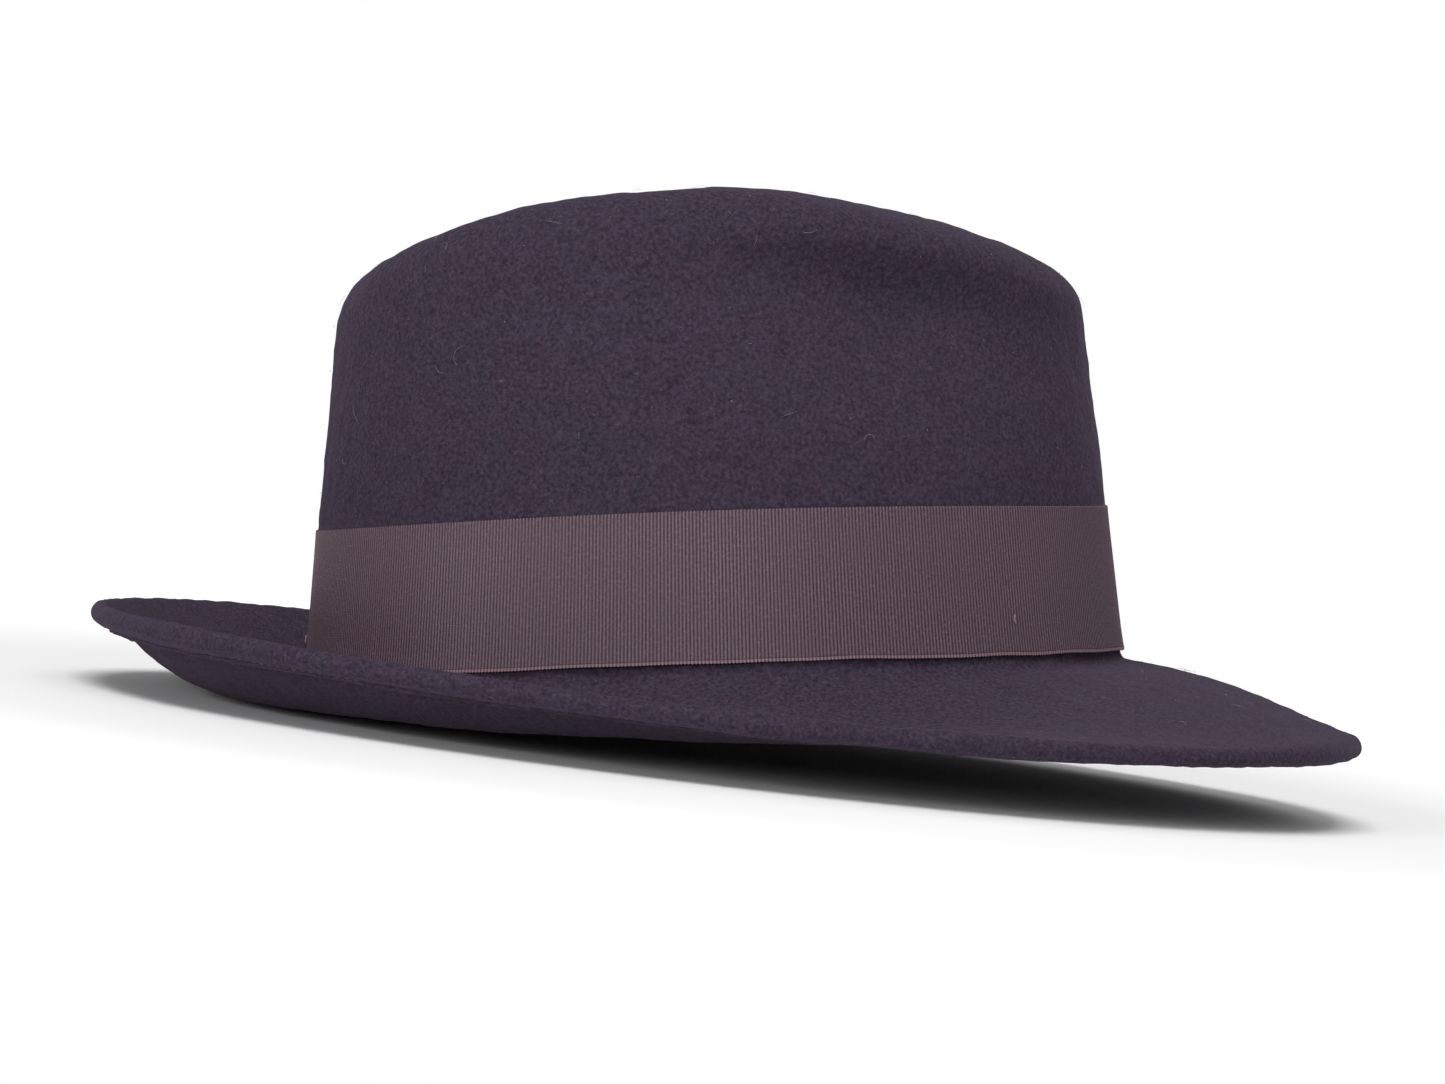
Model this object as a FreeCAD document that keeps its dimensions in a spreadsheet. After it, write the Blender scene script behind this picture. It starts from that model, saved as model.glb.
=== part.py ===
import FreeCAD, Part
import math
import os
import Sketcher
from types import SimpleNamespace

from FreeCAD import Placement, Rotation, Vector

# A wool-felt fedora with a snapped brim and a pinched teardrop crown, at its real size in millimetres.
#
# Every piece is drawn in the hat's own frame: the origin is the centre of the oval where crown and
# brim meet, +X points to the wearer's front, +Y to the wearer's left and +Z up along the crown.
# One placement then tips the whole hat nose-up to the pitch at which it rests on its brim, and moves
# it so that the row's origin lies on the table, below the middle of the hat's box.
#
# The felt's upper face is one formula, felt_face(angle, station). The angle goes round the head from
# the front, and the station goes from the middle of the crown's top (0) over the ridge (1), down the
# shoulder (2) and the wall (3), round the root (4) and out over the brim to its edge (5). The felt's
# other face, the sweatband, the lining and the ribbon are all laid out at a depth below that face.

document = FreeCAD.newDocument("Fedora")

# --- Driving sizes ---------------------------------------------------------------------------------
# Lengths are in millimetres and angles in degrees. Slopes are measured outwards from level.

DRIVING_SIZES = [
    ("oval_half_length", 104.5, "half the oval at the root of the brim, front to back, over the felt"),
    ("oval_half_width", 85.5, "half the same oval, side to side"),
    ("oval_egg", 0.03, "how much narrower the oval is towards the front than towards the back"),
    ("root_rise", 3.0, "how much higher the root of the brim is at the sides than at front and back"),
    ("taper_front", 4.7, "lean of the crown's wall at the front, from upright"),
    ("taper_back", 6.5, "lean of the crown's wall at the back"),
    ("taper_side", 6.0, "lean of the crown's wall at the sides"),
    ("crown_height", 121.3, "top of the ridge above the root"),
    ("crown_peak", -4.0, "where along the hat the ridge is highest"),
    ("ridge_fall", 0.0009, "how fast the ridge drops away from its highest point"),
    ("ridge_power", 2.253, "power of that drop with distance"),
    ("ridge_level", 100.0, "height of the wall from which the ridge's insets are measured"),
    ("shoulder_drop", 14.25, "height of the rounded shoulder between ridge and wall"),
    ("ridge_inset_front", 19.0, "how far the ridge lies inside the wall at the front"),
    ("ridge_inset_side", 18.0, "the same at the sides"),
    ("ridge_inset_back", 10.9, "the same at the back"),
    ("teardrop_squeeze", 0.35, "how much the ridge narrows at its front end"),
    ("teardrop_start", -20.0, "where along the hat that narrowing begins"),
    ("teardrop_length", 110.0, "length over which it grows"),
    ("dent_middle", -12.0, "middle of the dent in the crown's top, along the hat"),
    ("dent_flat", 0.22, "share of the dent that is its floor"),
    ("dent_floor", 94.0, "height of the dent's floor at its middle"),
    ("dent_floor_fall", 0.0022, "how fast that floor drops towards front and back"),
    ("pinch_depth", 11.0, "depth of the finger pinch on each side of the front"),
    ("pinch_middle", 44.0, "where along the hat the pinch is deepest"),
    ("pinch_reach", 40.0, "how far the pinch fades along the hat"),
    ("pinch_level", 103.0, "height of the pinch's valley beside the hat's middle"),
    ("pinch_slope", 0.24, "how fast that valley drops towards the front"),
    ("pinch_above", 12.0, "how far the pinch fades above its valley"),
    ("pinch_below", 22.0, "how far the pinch fades below its valley"),
    ("pinch_centre_fade", 20.0, "half width at the front centre that the pinch leaves alone"),
    ("brim_width_front", 58.4, "brim's reach from the root at the front, in plan"),
    ("brim_width_side", 50.7, "the same at the sides"),
    ("brim_width_back", 49.6, "the same at the back"),
    ("brim_rise_front", -21.3, "height of the brim's edge above the root at the front"),
    ("brim_rise_side", -5.1, "the same at the sides"),
    ("brim_rise_back", 22.6, "the same at the back"),
    ("root_slope_front", -9.3, "slope of the brim at its root at the front"),
    ("root_slope_side", -41.0, "the same at the sides"),
    ("root_slope_back", -5.8, "the same at the back"),
    ("edge_slope_front", -20.2, "slope of the brim at its edge at the front"),
    ("edge_slope_side", 18.9, "the same at the sides"),
    ("edge_slope_back", 44.8, "the same at the back"),
    ("root_pull_front", 0.43, "share of the brim that follows its root slope at the front"),
    ("root_pull_side", 0.60, "the same at the sides"),
    ("root_pull_back", 0.53, "the same at the back"),
    ("edge_pull_front", 0.26, "share of the brim that follows its edge slope at the front"),
    ("edge_pull_side", 0.33, "the same at the sides"),
    ("edge_pull_back", 0.30, "the same at the back"),
    ("root_fillet", 2.5, "reach of the rounding between wall and brim"),
    ("felt_thickness", 2.2, "one layer of felt"),
    ("edge_radius", 2.6, "radius of the brim's folded edge"),
    ("welt_station", 4.89, "station at which the felt folded under the edge is cut off, 8 mm in"),
    ("welt_thickness", 4.4, "the two layers at that cut edge"),
    ("thread_radius", 0.3, "sewing thread"),
    ("thread_gap", 0.25, "gap between the folded edge and its thread"),
    ("welt_stitch_station", 4.92, "station of the row of stitches that holds the folded edge"),
    ("fitting_gap", 0.15, "clearance between pieces that touch"),
    ("ribbon_low", 2.65, "lower edge of the ribbon above the root"),
    ("ribbon_high", 39.4, "upper edge of the ribbon above the root"),
    ("ribbon_thickness", 0.6, "grosgrain ribbon"),
    ("bow_tails_half_span", 23.0, "half the angle round the crown that the bow's tails cover"),
    ("bow_loops_half_span", 18.0, "half the angle that its loops cover"),
    ("bow_loops_thickness", 2.4, "the ribbon folded over on itself"),
    ("bow_keeper_half_span", 4.4, "half the angle that the keeper round its middle covers"),
    ("bow_keeper_overhang", 0.8, "how far the keeper stands out past the ribbon's edges"),
    ("tack_length", 3.2, "a tack stitch on the ribbon"),
    ("tack_radius", 0.35, "radius of its thread"),
    ("tack_height", 10.0, "height of the tacks above the root"),
    ("tack_angle", 44.5, "first tack's angle from the front, on each side"),
    ("tack_spread", 130.5, "angle from the first tack to the second"),
    ("sweat_low", 1.0, "lower edge of the sweatband above the root"),
    ("sweat_high", 55.0, "upper edge of the sweatband"),
    ("sweat_thickness", 0.9, "sweatband leather"),
    ("sweat_gap_low", 0.3, "gap between felt and sweatband at its lower edge"),
    ("sweat_gap_high", 3.6, "the same at its upper edge"),
    ("reed_radius", 1.1, "the reed sewn along the sweatband's lower edge"),
    ("sweat_stitch_height", 6.0, "row of stitches above the sweatband's lower edge"),
    ("seam_tape_half_span", 2.7, "half the angle that the tape over the back seam covers"),
    ("seam_tape_low", 5.0, "the tape's lower end above the root"),
    ("seam_tape_high", 52.0, "the tape's upper end"),
    ("seam_tape_thickness", 0.6, "the tape"),
    ("small_bow_width", 24.0, "the little bow inside at the back"),
    ("small_bow_height", 7.0, "its ribbon's width"),
    ("small_bow_thickness", 1.2, "its folded ribbon"),
    ("small_knot_width", 4.5, "its knot, along the bow"),
    ("small_knot_height", 5.5, "its knot, across the bow"),
    ("small_knot_thickness", 2.2, "its knot, off the bow's back"),
    ("small_bow_level", 45.0, "height of the little bow above the root"),
    ("small_bow_gap", 2.4, "depth of the little bow inside the seam tape"),
    ("tag_width", 22.0, "blank size tag"),
    ("tag_height", 13.0, "its height"),
    ("tag_thickness", 0.4, "its cloth"),
    ("tag_corner", 1.5, "its corner radius"),
    ("tag_level", 30.0, "height of its middle above the root"),
    ("tag_gap", 2.2, "depth of the tag inside the sweatband"),
    ("tag_angle", 155.0, "its angle from the front"),
    ("lining_low_station", 2.6, "station of the lining's lower edge, behind the sweatband"),
    ("lining_gap", 1.2, "gap between felt and lining"),
    ("lining_thickness", 0.4, "satin lining"),
    ("lining_seam_station", 1.5, "station of the seam between the lining's side and its tip"),
    ("lining_seam_gap", 0.04, "how much of a station the two stay apart at that seam"),
    ("piping_radius", 0.8, "piping over that seam"),
    ("rest_pitch", 8.5, "how far the nose is up when the hat rests on its brim"),
]

sheet = document.addObject("Spreadsheet::Sheet", "Sizes")
for row, (alias, value, meaning) in enumerate(DRIVING_SIZES, start=1):
    sheet.set(f"A{row}", alias)
    sheet.set(f"B{row}", str(value))
    sheet.setAlias(f"B{row}", alias)
    sheet.set(f"C{row}", meaning)
document.recompute()
hat = SimpleNamespace(**{alias: float(sheet.get(alias)) for alias, _, _ in DRIVING_SIZES})

# How finely the curved pieces are drawn.
ANGLE_COUNT = 60
ANGLES = [math.tau * step / ANGLE_COUNT for step in range(ANGLE_COUNT)]
LEFT, BACK = math.pi / 2, math.pi

# Stations of the felt's rings. Each stretch is a skin of its own, evenly spaced, so that it stays
# true to the formula.
DENT_STATIONS = [0.14, 0.28, 0.42, 0.56, 0.7, 0.85, 1.0]
SHOULDER_STATIONS = [1.0, 1.25, 1.5, 1.75, 2.0]
WALL_STATIONS = [2.0, 2.12, 2.25, 2.4, 2.55, 2.7, 2.85, 3.0]
ROOT_STATIONS = [3.0, 3.33, 3.67, 4.0]
BRIM_STATIONS = [4.0, 4.15, 4.3, 4.45, 4.6, 4.75, hat.welt_station]
BRIM_EDGE = 5.0

# Steps over which slopes are measured.
SMALL_SHARE = 0.01
SMALL_STEP = 0.002


# --- The felt's upper face -------------------------------------------------------------------------


def around(front, side, back, angle):
    """A size with one value at the front, one at both sides and one at the back."""
    ahead = math.cos(angle)
    return side + (front - back) / 2 * ahead + ((front + back) / 2 - side) * ahead**2


def smooth_step(share):
    """Rise from 0 to 1 with no slope at either end."""
    share = min(max(share, 0.0), 1.0)
    return share * share * (3 - 2 * share)


def root_height(angle):
    """Height of the line where wall and brim meet."""
    return hat.root_rise * math.sin(angle) ** 2


def crown_wall(angle, z):
    """The crown's leaning wall, as an oval cone with no pinch in it."""
    front, back, side = (
        math.tan(math.radians(taper)) for taper in (hat.taper_front, hat.taper_back, hat.taper_side)
    )
    ahead = math.cos(angle)
    x = hat.oval_half_length * ahead - z * ((front + back) / 2 * ahead + (front - back) / 2)
    y = (hat.oval_half_width - z * side) * math.sin(angle) * (1 - hat.oval_egg * ahead)
    return Vector(x, y, z)


def pinched(point):
    """The point pushed in by the finger pinch on its side of the crown."""
    valley = hat.pinch_level - hat.pinch_slope * point.x
    fade = hat.pinch_above if point.z > valley else hat.pinch_below
    along = math.exp(-(((point.x - hat.pinch_middle) / hat.pinch_reach) ** 2))
    across = math.exp(-(((point.z - valley) / fade) ** 2))
    push = hat.pinch_depth * along * across * math.tanh(point.y / hat.pinch_centre_fade)
    return Vector(point.x, point.y - push, point.z)


def ridge_height(x):
    """Height of the ridge, which arches from front to back."""
    return hat.crown_height - hat.ridge_fall * abs(x - hat.crown_peak) ** hat.ridge_power


def bare_ridge(angle):
    """The ridge round the dent, before the pinch: a teardrop, blunt at the back."""
    wall = crown_wall(angle, hat.ridge_level)
    inset = around(hat.ridge_inset_front, hat.ridge_inset_side, hat.ridge_inset_back, angle)
    shrink = 1 - inset / math.hypot(wall.x, wall.y)
    x = wall.x * shrink
    taper = min(max((x - hat.teardrop_start) / hat.teardrop_length, 0.0), 1.0) ** 1.5
    return Vector(x, wall.y * shrink * (1 - hat.teardrop_squeeze * taper), ridge_height(x))


def dent(angle, share):
    """The sunken top of the crown, from its middle (0) to the ridge (1)."""
    ridge = pinched(bare_ridge(angle))
    x = hat.dent_middle + share * (ridge.x - hat.dent_middle)
    floor = hat.dent_floor - hat.dent_floor_fall * (x - hat.dent_middle) ** 2
    climb = smooth_step((share - hat.dent_flat) / (1 - hat.dent_flat))
    return Vector(x, share * ridge.y, floor + (ridge.z - floor) * climb)


def shoulder_foot(angle):
    """Height at which the rounded shoulder becomes the straight wall."""
    return bare_ridge(angle).z - hat.shoulder_drop


def shoulder(angle, share):
    """The rounded shoulder, from the ridge (0) to the wall (1): a quarter of an ellipse."""
    ridge = bare_ridge(angle)
    foot = crown_wall(angle, ridge.z - hat.shoulder_drop)
    lean = crown_wall(angle, ridge.z) - foot
    turn = (1 - share) * math.pi / 2
    x = foot.x + lean.x * math.sin(turn) + (ridge.x - foot.x - lean.x) * (1 - math.cos(turn))
    y = foot.y + lean.y * math.sin(turn) + (ridge.y - foot.y - lean.y) * (1 - math.cos(turn))
    return pinched(Vector(x, y, foot.z + hat.shoulder_drop * math.sin(turn)))


def wall(angle, z):
    """The crown's wall with the pinches in it."""
    return pinched(crown_wall(angle, z))


def brim(angle, share):
    """The brim, from its root (0) to its edge (1): one cubic arc at each angle."""
    reach = around(hat.brim_width_front, hat.brim_width_side, hat.brim_width_back, angle)
    rise = around(hat.brim_rise_front, hat.brim_rise_side, hat.brim_rise_back, angle)
    root = math.radians(around(hat.root_slope_front, hat.root_slope_side, hat.root_slope_back, angle))
    edge = math.radians(around(hat.edge_slope_front, hat.edge_slope_side, hat.edge_slope_back, angle))
    root_pull = around(hat.root_pull_front, hat.root_pull_side, hat.root_pull_back, angle)
    edge_pull = around(hat.edge_pull_front, hat.edge_pull_side, hat.edge_pull_back, angle)
    span = math.hypot(reach, rise)
    handles = [
        (0.0, 0.0),
        (span * root_pull * math.cos(root), span * root_pull * math.sin(root)),
        (reach - span * edge_pull * math.cos(edge), rise - span * edge_pull * math.sin(edge)),
        (reach, rise),
    ]
    weights = [(1 - share) ** 3, 3 * (1 - share) ** 2 * share, 3 * (1 - share) * share**2, share**3]
    out = sum(weight * handle[0] for weight, handle in zip(weights, handles))
    up = sum(weight * handle[1] for weight, handle in zip(weights, handles))
    facing = Vector(hat.oval_half_width * math.cos(angle), hat.oval_half_length * math.sin(angle), 0)
    facing.normalize()
    return crown_wall(angle, root_height(angle)) + facing * out + Vector(0, 0, up)


def root_end_share(angle):
    """Share of the brim's arc that the rounding at its root takes up."""
    first_step = brim(angle, SMALL_SHARE) - brim(angle, 0)
    return SMALL_SHARE * hat.root_fillet / first_step.Length


def root(angle, share):
    """The rounding between the wall (0) and the brim (1), tangent to both."""
    start = wall(angle, root_height(angle) + hat.root_fillet)
    end = brim(angle, root_end_share(angle))
    return start * (1 - share) ** 2 + brim(angle, 0) * 2 * share * (1 - share) + end * share**2


def felt_face(angle, station):
    """A point of the felt's upper face."""
    if station <= 1:
        return dent(angle, station)
    if station <= 2:
        return shoulder(angle, station - 1)
    if station <= 3:
        top = shoulder_foot(angle)
        return wall(angle, top + (root_height(angle) + hat.root_fillet - top) * (station - 2))
    if station <= 4:
        return root(angle, station - 3)
    start = root_end_share(angle)
    return brim(angle, start + (1 - start) * (station - 4))


def face_axes(angle, station):
    """The outward normal of the felt's upper face and the direction down and out along it."""
    before, after = max(station - SMALL_STEP, SMALL_STEP), min(station + SMALL_STEP, BRIM_EDGE)
    along = felt_face(angle, after) - felt_face(angle, before)
    across = felt_face(angle + SMALL_STEP, station) - felt_face(angle - SMALL_STEP, station)
    normal = along.cross(across)
    normal.normalize()
    along.normalize()
    return normal, along


def below_face(angle, station, depth):
    """A point that lies at a depth below the felt's upper face."""
    normal, _ = face_axes(angle, station)
    return felt_face(angle, station) - normal * depth


def below_wall(angle, height, depth):
    """A point at a height above the root and a depth inside the crown's wall."""
    z = root_height(angle) + height
    up = wall(angle, z + SMALL_STEP) - wall(angle, z)
    across = wall(angle + SMALL_STEP, z) - wall(angle - SMALL_STEP, z)
    normal = across.cross(up)
    normal.normalize()
    return wall(angle, z) - normal * depth


def dent_pole(depth):
    """The point at a depth below the middle of the dent."""
    return Vector(hat.dent_middle, 0, hat.dent_floor - depth)


# --- Solids from rings -----------------------------------------------------------------------------


def ring(point_at):
    """A closed ring of points round the head."""
    return [point_at(angle) for angle in ANGLES]


def section(shape):
    """One section of a skin: a vertex for a pole, and a smooth closed wire for a ring."""
    if isinstance(shape, Vector):
        return Part.Vertex(shape)
    curve = Part.BSplineCurve()
    curve.interpolate(Points=shape, PeriodicFlag=True, Parameters=list(range(ANGLE_COUNT + 1)))
    return Part.Wire(curve.toShape())


def solid_from_faces(faces):
    """The closed solid inside faces that meet edge to edge."""
    shell = Part.makeShell(faces)
    shell.sewShape()
    solid = Part.makeSolid(shell)
    if solid.Volume < 0:
        solid.reverse()
    return solid


def solid_from_skins(skins):
    """A closed solid from skins that meet edge to edge, each a list of rings and poles."""
    lofts = [Part.makeLoft([section(shape) for shape in skin]) for skin in skins]
    return solid_from_faces([face for loft in lofts for face in loft.Faces])


def ring_tube(centre_at, axes_at, radius):
    """A tube of round section that runs once round the head."""

    def rim(turn):
        def point(angle):
            first, second = axes_at(angle)
            return centre_at(angle) + first * (radius * math.cos(turn)) + second * (radius * math.sin(turn))

        return ring(point)

    quarters = [rim(math.tau * step / 8) for step in range(8)]
    return solid_from_skins([quarters[:5], quarters[4:] + quarters[:1]])


def ring_band(point_at, low, high, near, far, levels):
    """A band round the head between two levels and two depths, as point_at(angle, level, depth)."""
    rows = [low + (high - low) * step / (levels - 1) for step in range(levels)]
    outside = [ring(lambda angle, row=row: point_at(angle, row, near(row))) for row in rows]
    inside = [ring(lambda angle, row=row: point_at(angle, row, far(row))) for row in rows]
    return solid_from_skins(
        [outside, inside, [outside[0], inside[0]], [outside[-1], inside[-1]]]
    )


def wall_patch(middle, half_span, low, high, near, far):
    """A curved plate on the crown's wall, centred at an angle, between two heights and two depths."""
    angles = [middle + math.radians(half_span) * (step / 4 - 1) for step in range(9)]
    rails = []
    for height, depth in ((low, near), (high, near), (high, far), (low, far)):
        curve = Part.BSplineCurve()
        curve.interpolate(Points=[below_wall(angle, height, depth) for angle in angles])
        rails.append(curve.toShape())
    pairs = zip(rails, rails[1:] + rails[:1])
    faces = [Part.makeRuledSurface(rail, following) for rail, following in pairs]
    for end in (0, -1):
        corners = [rail.Vertexes[end].Point for rail in rails]
        near_side, far_side = Part.makeLine(corners[0], corners[1]), Part.makeLine(corners[3], corners[2])
        faces.append(Part.makeRuledSurface(near_side, far_side))
    return solid_from_faces(faces)


# --- The pieces ------------------------------------------------------------------------------------


def felt_ring(station, depth):
    """A ring of the felt at a station and a depth."""
    return ring(lambda angle: below_face(angle, station, depth))


def felt_tip():
    """The tip of the crown: its dented top and rounded shoulder."""
    skins = []
    for depth in (0, hat.felt_thickness):
        skins.append([dent_pole(depth)] + [felt_ring(station, depth) for station in DENT_STATIONS])
        skins.append([felt_ring(station, depth) for station in SHOULDER_STATIONS])
    skins.append([skins[1][-1], skins[3][-1]])
    return solid_from_skins(skins)


def felt_side():
    """The side of the crown, from its shoulder down to the end of the rounding at the brim's root."""
    skins = []
    for depth in (0, hat.felt_thickness):
        for stations in (WALL_STATIONS, ROOT_STATIONS):
            skins.append([felt_ring(station, depth) for station in stations])
    skins.append([skins[0][0], skins[2][0]])
    skins.append([skins[1][-1], skins[3][-1]])
    return solid_from_skins(skins)


def felt_brim():
    """The brim's felt, with its edge folded under and cut off 8 mm in."""

    def edge(turn):
        def point(angle):
            normal, along = face_axes(angle, BRIM_EDGE)
            swing = normal * (math.cos(turn) - 1) + along * math.sin(turn)
            return felt_face(angle, BRIM_EDGE) + swing * hat.edge_radius

        return ring(point)

    welt_middle = (hat.welt_station + BRIM_EDGE) / 2
    upper = [felt_ring(station, 0) for station in BRIM_STATIONS]
    lower = [felt_ring(station, hat.felt_thickness) for station in BRIM_STATIONS]
    outside = [upper[-1], felt_ring(welt_middle, 0), felt_ring(BRIM_EDGE, 0)]
    rolled = [edge(math.pi * step / 6) for step in range(7)]
    folded = [
        rolled[-1],
        felt_ring(welt_middle, (hat.welt_thickness + 2 * hat.edge_radius) / 2),
        felt_ring(hat.welt_station, hat.welt_thickness),
    ]
    ends = [[upper[0], lower[0]], [folded[-1], lower[-1]]]
    return solid_from_skins([upper, lower, outside, rolled, folded] + ends)


def welt_stitching():
    """The row of stitches under the brim that holds the folded edge."""
    depth = hat.welt_thickness + hat.thread_gap + hat.thread_radius

    def centre(angle):
        return below_face(angle, hat.welt_stitch_station, depth)

    return ring_tube(centre, lambda angle: face_axes(angle, hat.welt_stitch_station), hat.thread_radius)


def hatband():
    """The grosgrain ribbon round the foot of the crown."""
    near, far = -hat.fitting_gap - hat.ribbon_thickness, -hat.fitting_gap
    return ring_band(below_wall, hat.ribbon_low, hat.ribbon_high, lambda row: near, lambda row: far, 4)


def bow_layer(half_span, overhang, level, thickness):
    """One layer of the bow on the hat's left, at a level above the ribbon's outer face."""
    base = hat.fitting_gap + hat.ribbon_thickness + hat.fitting_gap + level
    low, high = hat.ribbon_low - overhang, hat.ribbon_high + overhang
    return wall_patch(LEFT, half_span, low, high, -base - thickness, -base)


def bow_tails():
    """The ribbon's two cut ends, which lie flat behind the bow."""
    return bow_layer(hat.bow_tails_half_span, 0, 0, hat.ribbon_thickness)


def bow_loops():
    """The flat bow: one ribbon folded to a loop on each side."""
    level = hat.ribbon_thickness + hat.fitting_gap
    return bow_layer(hat.bow_loops_half_span, 0, level, hat.bow_loops_thickness)


def bow_keeper():
    """The narrow ribbon wrapped upright round the middle of the bow."""
    level = hat.ribbon_thickness + hat.bow_loops_thickness + 2 * hat.fitting_gap
    return bow_layer(hat.bow_keeper_half_span, hat.bow_keeper_overhang, level, hat.ribbon_thickness)


def sweatband_depth(height):
    """Depth of the sweatband's outer face: it stands off the felt towards its upper edge."""
    share = (height - hat.sweat_low) / (hat.sweat_high - hat.sweat_low)
    return hat.felt_thickness + hat.sweat_gap_low + (hat.sweat_gap_high - hat.sweat_gap_low) * share


def sweatband():
    """The leather band that sits on the head."""

    def inner_face(height):
        return sweatband_depth(height) + hat.sweat_thickness

    return ring_band(below_wall, hat.sweat_low, hat.sweat_high, sweatband_depth, inner_face, 5)


def upright_axes(angle):
    """Inward and upward directions at the crown's wall."""
    inward = below_wall(angle, hat.sweat_low, 1) - below_wall(angle, hat.sweat_low, 0)
    return inward, Vector(0, 0, 1)


def sweatband_reed():
    """The stiff reed along the sweatband's lower edge, sewn to the root of the brim."""
    height = hat.sweat_low - hat.reed_radius - hat.fitting_gap
    depth = sweatband_depth(hat.sweat_low) + hat.reed_radius

    def centre(angle):
        return below_wall(angle, height, depth)

    return ring_tube(centre, upright_axes, hat.reed_radius)


def sweatband_stitching():
    """The row of stitches just above the reed, on the sweatband's inner face."""
    height = hat.sweat_low + hat.sweat_stitch_height
    depth = sweatband_depth(height) + hat.sweat_thickness + hat.thread_radius + hat.fitting_gap

    def centre(angle):
        return below_wall(angle, height, depth)

    return ring_tube(centre, upright_axes, hat.thread_radius)


def sweatband_seam_tape():
    """The tape over the sweatband's butt seam at the back."""
    depth = sweatband_depth(hat.sweat_high) + hat.sweat_thickness + hat.fitting_gap
    low = hat.seam_tape_low + hat.sweat_stitch_height
    far = depth + hat.seam_tape_thickness
    return wall_patch(BACK, hat.seam_tape_half_span, low, hat.seam_tape_high, depth, far)


def lining_depths():
    """Depths of the lining's two faces below the felt's upper face."""
    outer = hat.felt_thickness + hat.lining_gap
    return outer, outer + hat.lining_thickness


def lining_rings(stations, depth):
    """Rings of one face of the lining."""
    return [ring(lambda angle, row=row: below_face(angle, row, depth)) for row in stations]


def lining_side():
    """The pleated satin that lines the crown's wall, from the tip down to behind the sweatband."""
    on_shoulder = [hat.lining_seam_station, 1.75, 2.0]
    on_wall = [2.0, 2.12, 2.25, 2.4, hat.lining_low_station]
    stretches = (on_shoulder, on_wall)
    skins = [lining_rings(stations, depth) for depth in lining_depths() for stations in stretches]
    skins.append([skins[0][0], skins[2][0]])
    skins.append([skins[1][-1], skins[3][-1]])
    return solid_from_skins(skins)


def lining_tip():
    """The oval of satin that lines the crown's top."""
    on_shoulder = [1.0, 1.25, hat.lining_seam_station - hat.lining_seam_gap]
    skins = []
    for depth in lining_depths():
        skins.append([dent_pole(depth)] + lining_rings(DENT_STATIONS, depth))
        skins.append(lining_rings(on_shoulder, depth))
    skins.append([skins[1][-1], skins[3][-1]])
    return solid_from_skins(skins)


def lining_piping():
    """The piping over the seam between the lining's side and its tip."""
    depth = lining_depths()[1] + hat.piping_radius + hat.fitting_gap

    def centre(angle):
        return below_face(angle, hat.lining_seam_station, depth)

    return ring_tube(centre, lambda angle: face_axes(angle, hat.lining_seam_station), hat.piping_radius)


PIECES = [
    felt_tip,
    felt_side,
    felt_brim,
    welt_stitching,
    hatband,
    bow_tails,
    bow_loops,
    bow_keeper,
    sweatband,
    sweatband_reed,
    sweatband_stitching,
    sweatband_seam_tape,
    lining_side,
    lining_tip,
    lining_piping,
]

shapes = {build.__name__: build() for build in PIECES}

# --- Rest pose -------------------------------------------------------------------------------------
# Nose-up about the hat's left-right axis, then down on to the table.

tipped = Placement(Vector(0, 0, 0), Rotation(Vector(0, -1, 0), hat.rest_pitch))
box = shapes["felt_brim"].transformed(tipped.toMatrix()).optimalBoundingBox(False)
rest = Placement(Vector(-box.Center.x, -box.Center.y, -box.ZMin), tipped.Rotation)

sub_parts = []
for name, shape in shapes.items():
    feature = document.addObject("Part::Feature", name)
    feature.Label = name
    feature.Shape = shape
    feature.Placement = rest
    sub_parts.append(feature)


# --- Small flat pieces and tacks -------------------------------------------------------------------


def wall_frame(angle, height, depth):
    """A frame on the crown's wall: X round the head, Y up the wall and Z towards the inside."""
    origin = below_wall(angle, height, depth)
    inward = below_wall(angle, height, depth + 1) - origin
    upward = below_wall(angle, height + 1, depth) - origin
    return Placement(origin, Rotation(upward.cross(inward), upward, inward, "ZYX"))


def centred_rectangle(body, name, width, height):
    """A sketch of a rectangle about the body's origin, with its sides bound to two cells."""
    sketch = body.newObject("Sketcher::SketchObject", name)
    plane = next(item for item in body.Origin.OriginFeatures if item.Role == "XY_Plane")
    sketch.AttachmentSupport = [(plane, "")]
    sketch.MapMode = "FlatFace"
    half_width, half_height = getattr(hat, width) / 2, getattr(hat, height) / 2
    corners = [
        Vector(side * half_width, end * half_height, 0)
        for side, end in ((-1, -1), (1, -1), (1, 1), (-1, 1))
    ]
    for index, corner in enumerate(corners):
        sketch.addGeometry(Part.LineSegment(corner, corners[(index + 1) % 4]))
    for index in range(4):
        sketch.addConstraint(Sketcher.Constraint("Coincident", index, 2, (index + 1) % 4, 1))
        sketch.addConstraint(Sketcher.Constraint(("Horizontal", "Vertical")[index % 2], index))
    sketch.addConstraint(Sketcher.Constraint("Symmetric", 0, 1, 1, 2, -1, 1))
    for index, cell, kind in ((0, width, "DistanceX"), (1, height, "DistanceY")):
        number = sketch.addConstraint(Sketcher.Constraint(kind, index, 1, index, 2, getattr(hat, cell)))
        sketch.renameConstraint(number, cell)
        sketch.setExpression(f"Constraints.{cell}", f"Sizes.{cell}")
    return sketch


def add_plate(body, name, width, height, thickness):
    """Pad a centred rectangle in the body, with all three sizes bound to cells."""
    sketch = centred_rectangle(body, f"{name}_outline", width, height)
    pad = body.newObject("PartDesign::Pad", name)
    pad.Profile = sketch
    pad.setExpression("Length", f"Sizes.{thickness}")
    document.recompute()
    return pad


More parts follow.
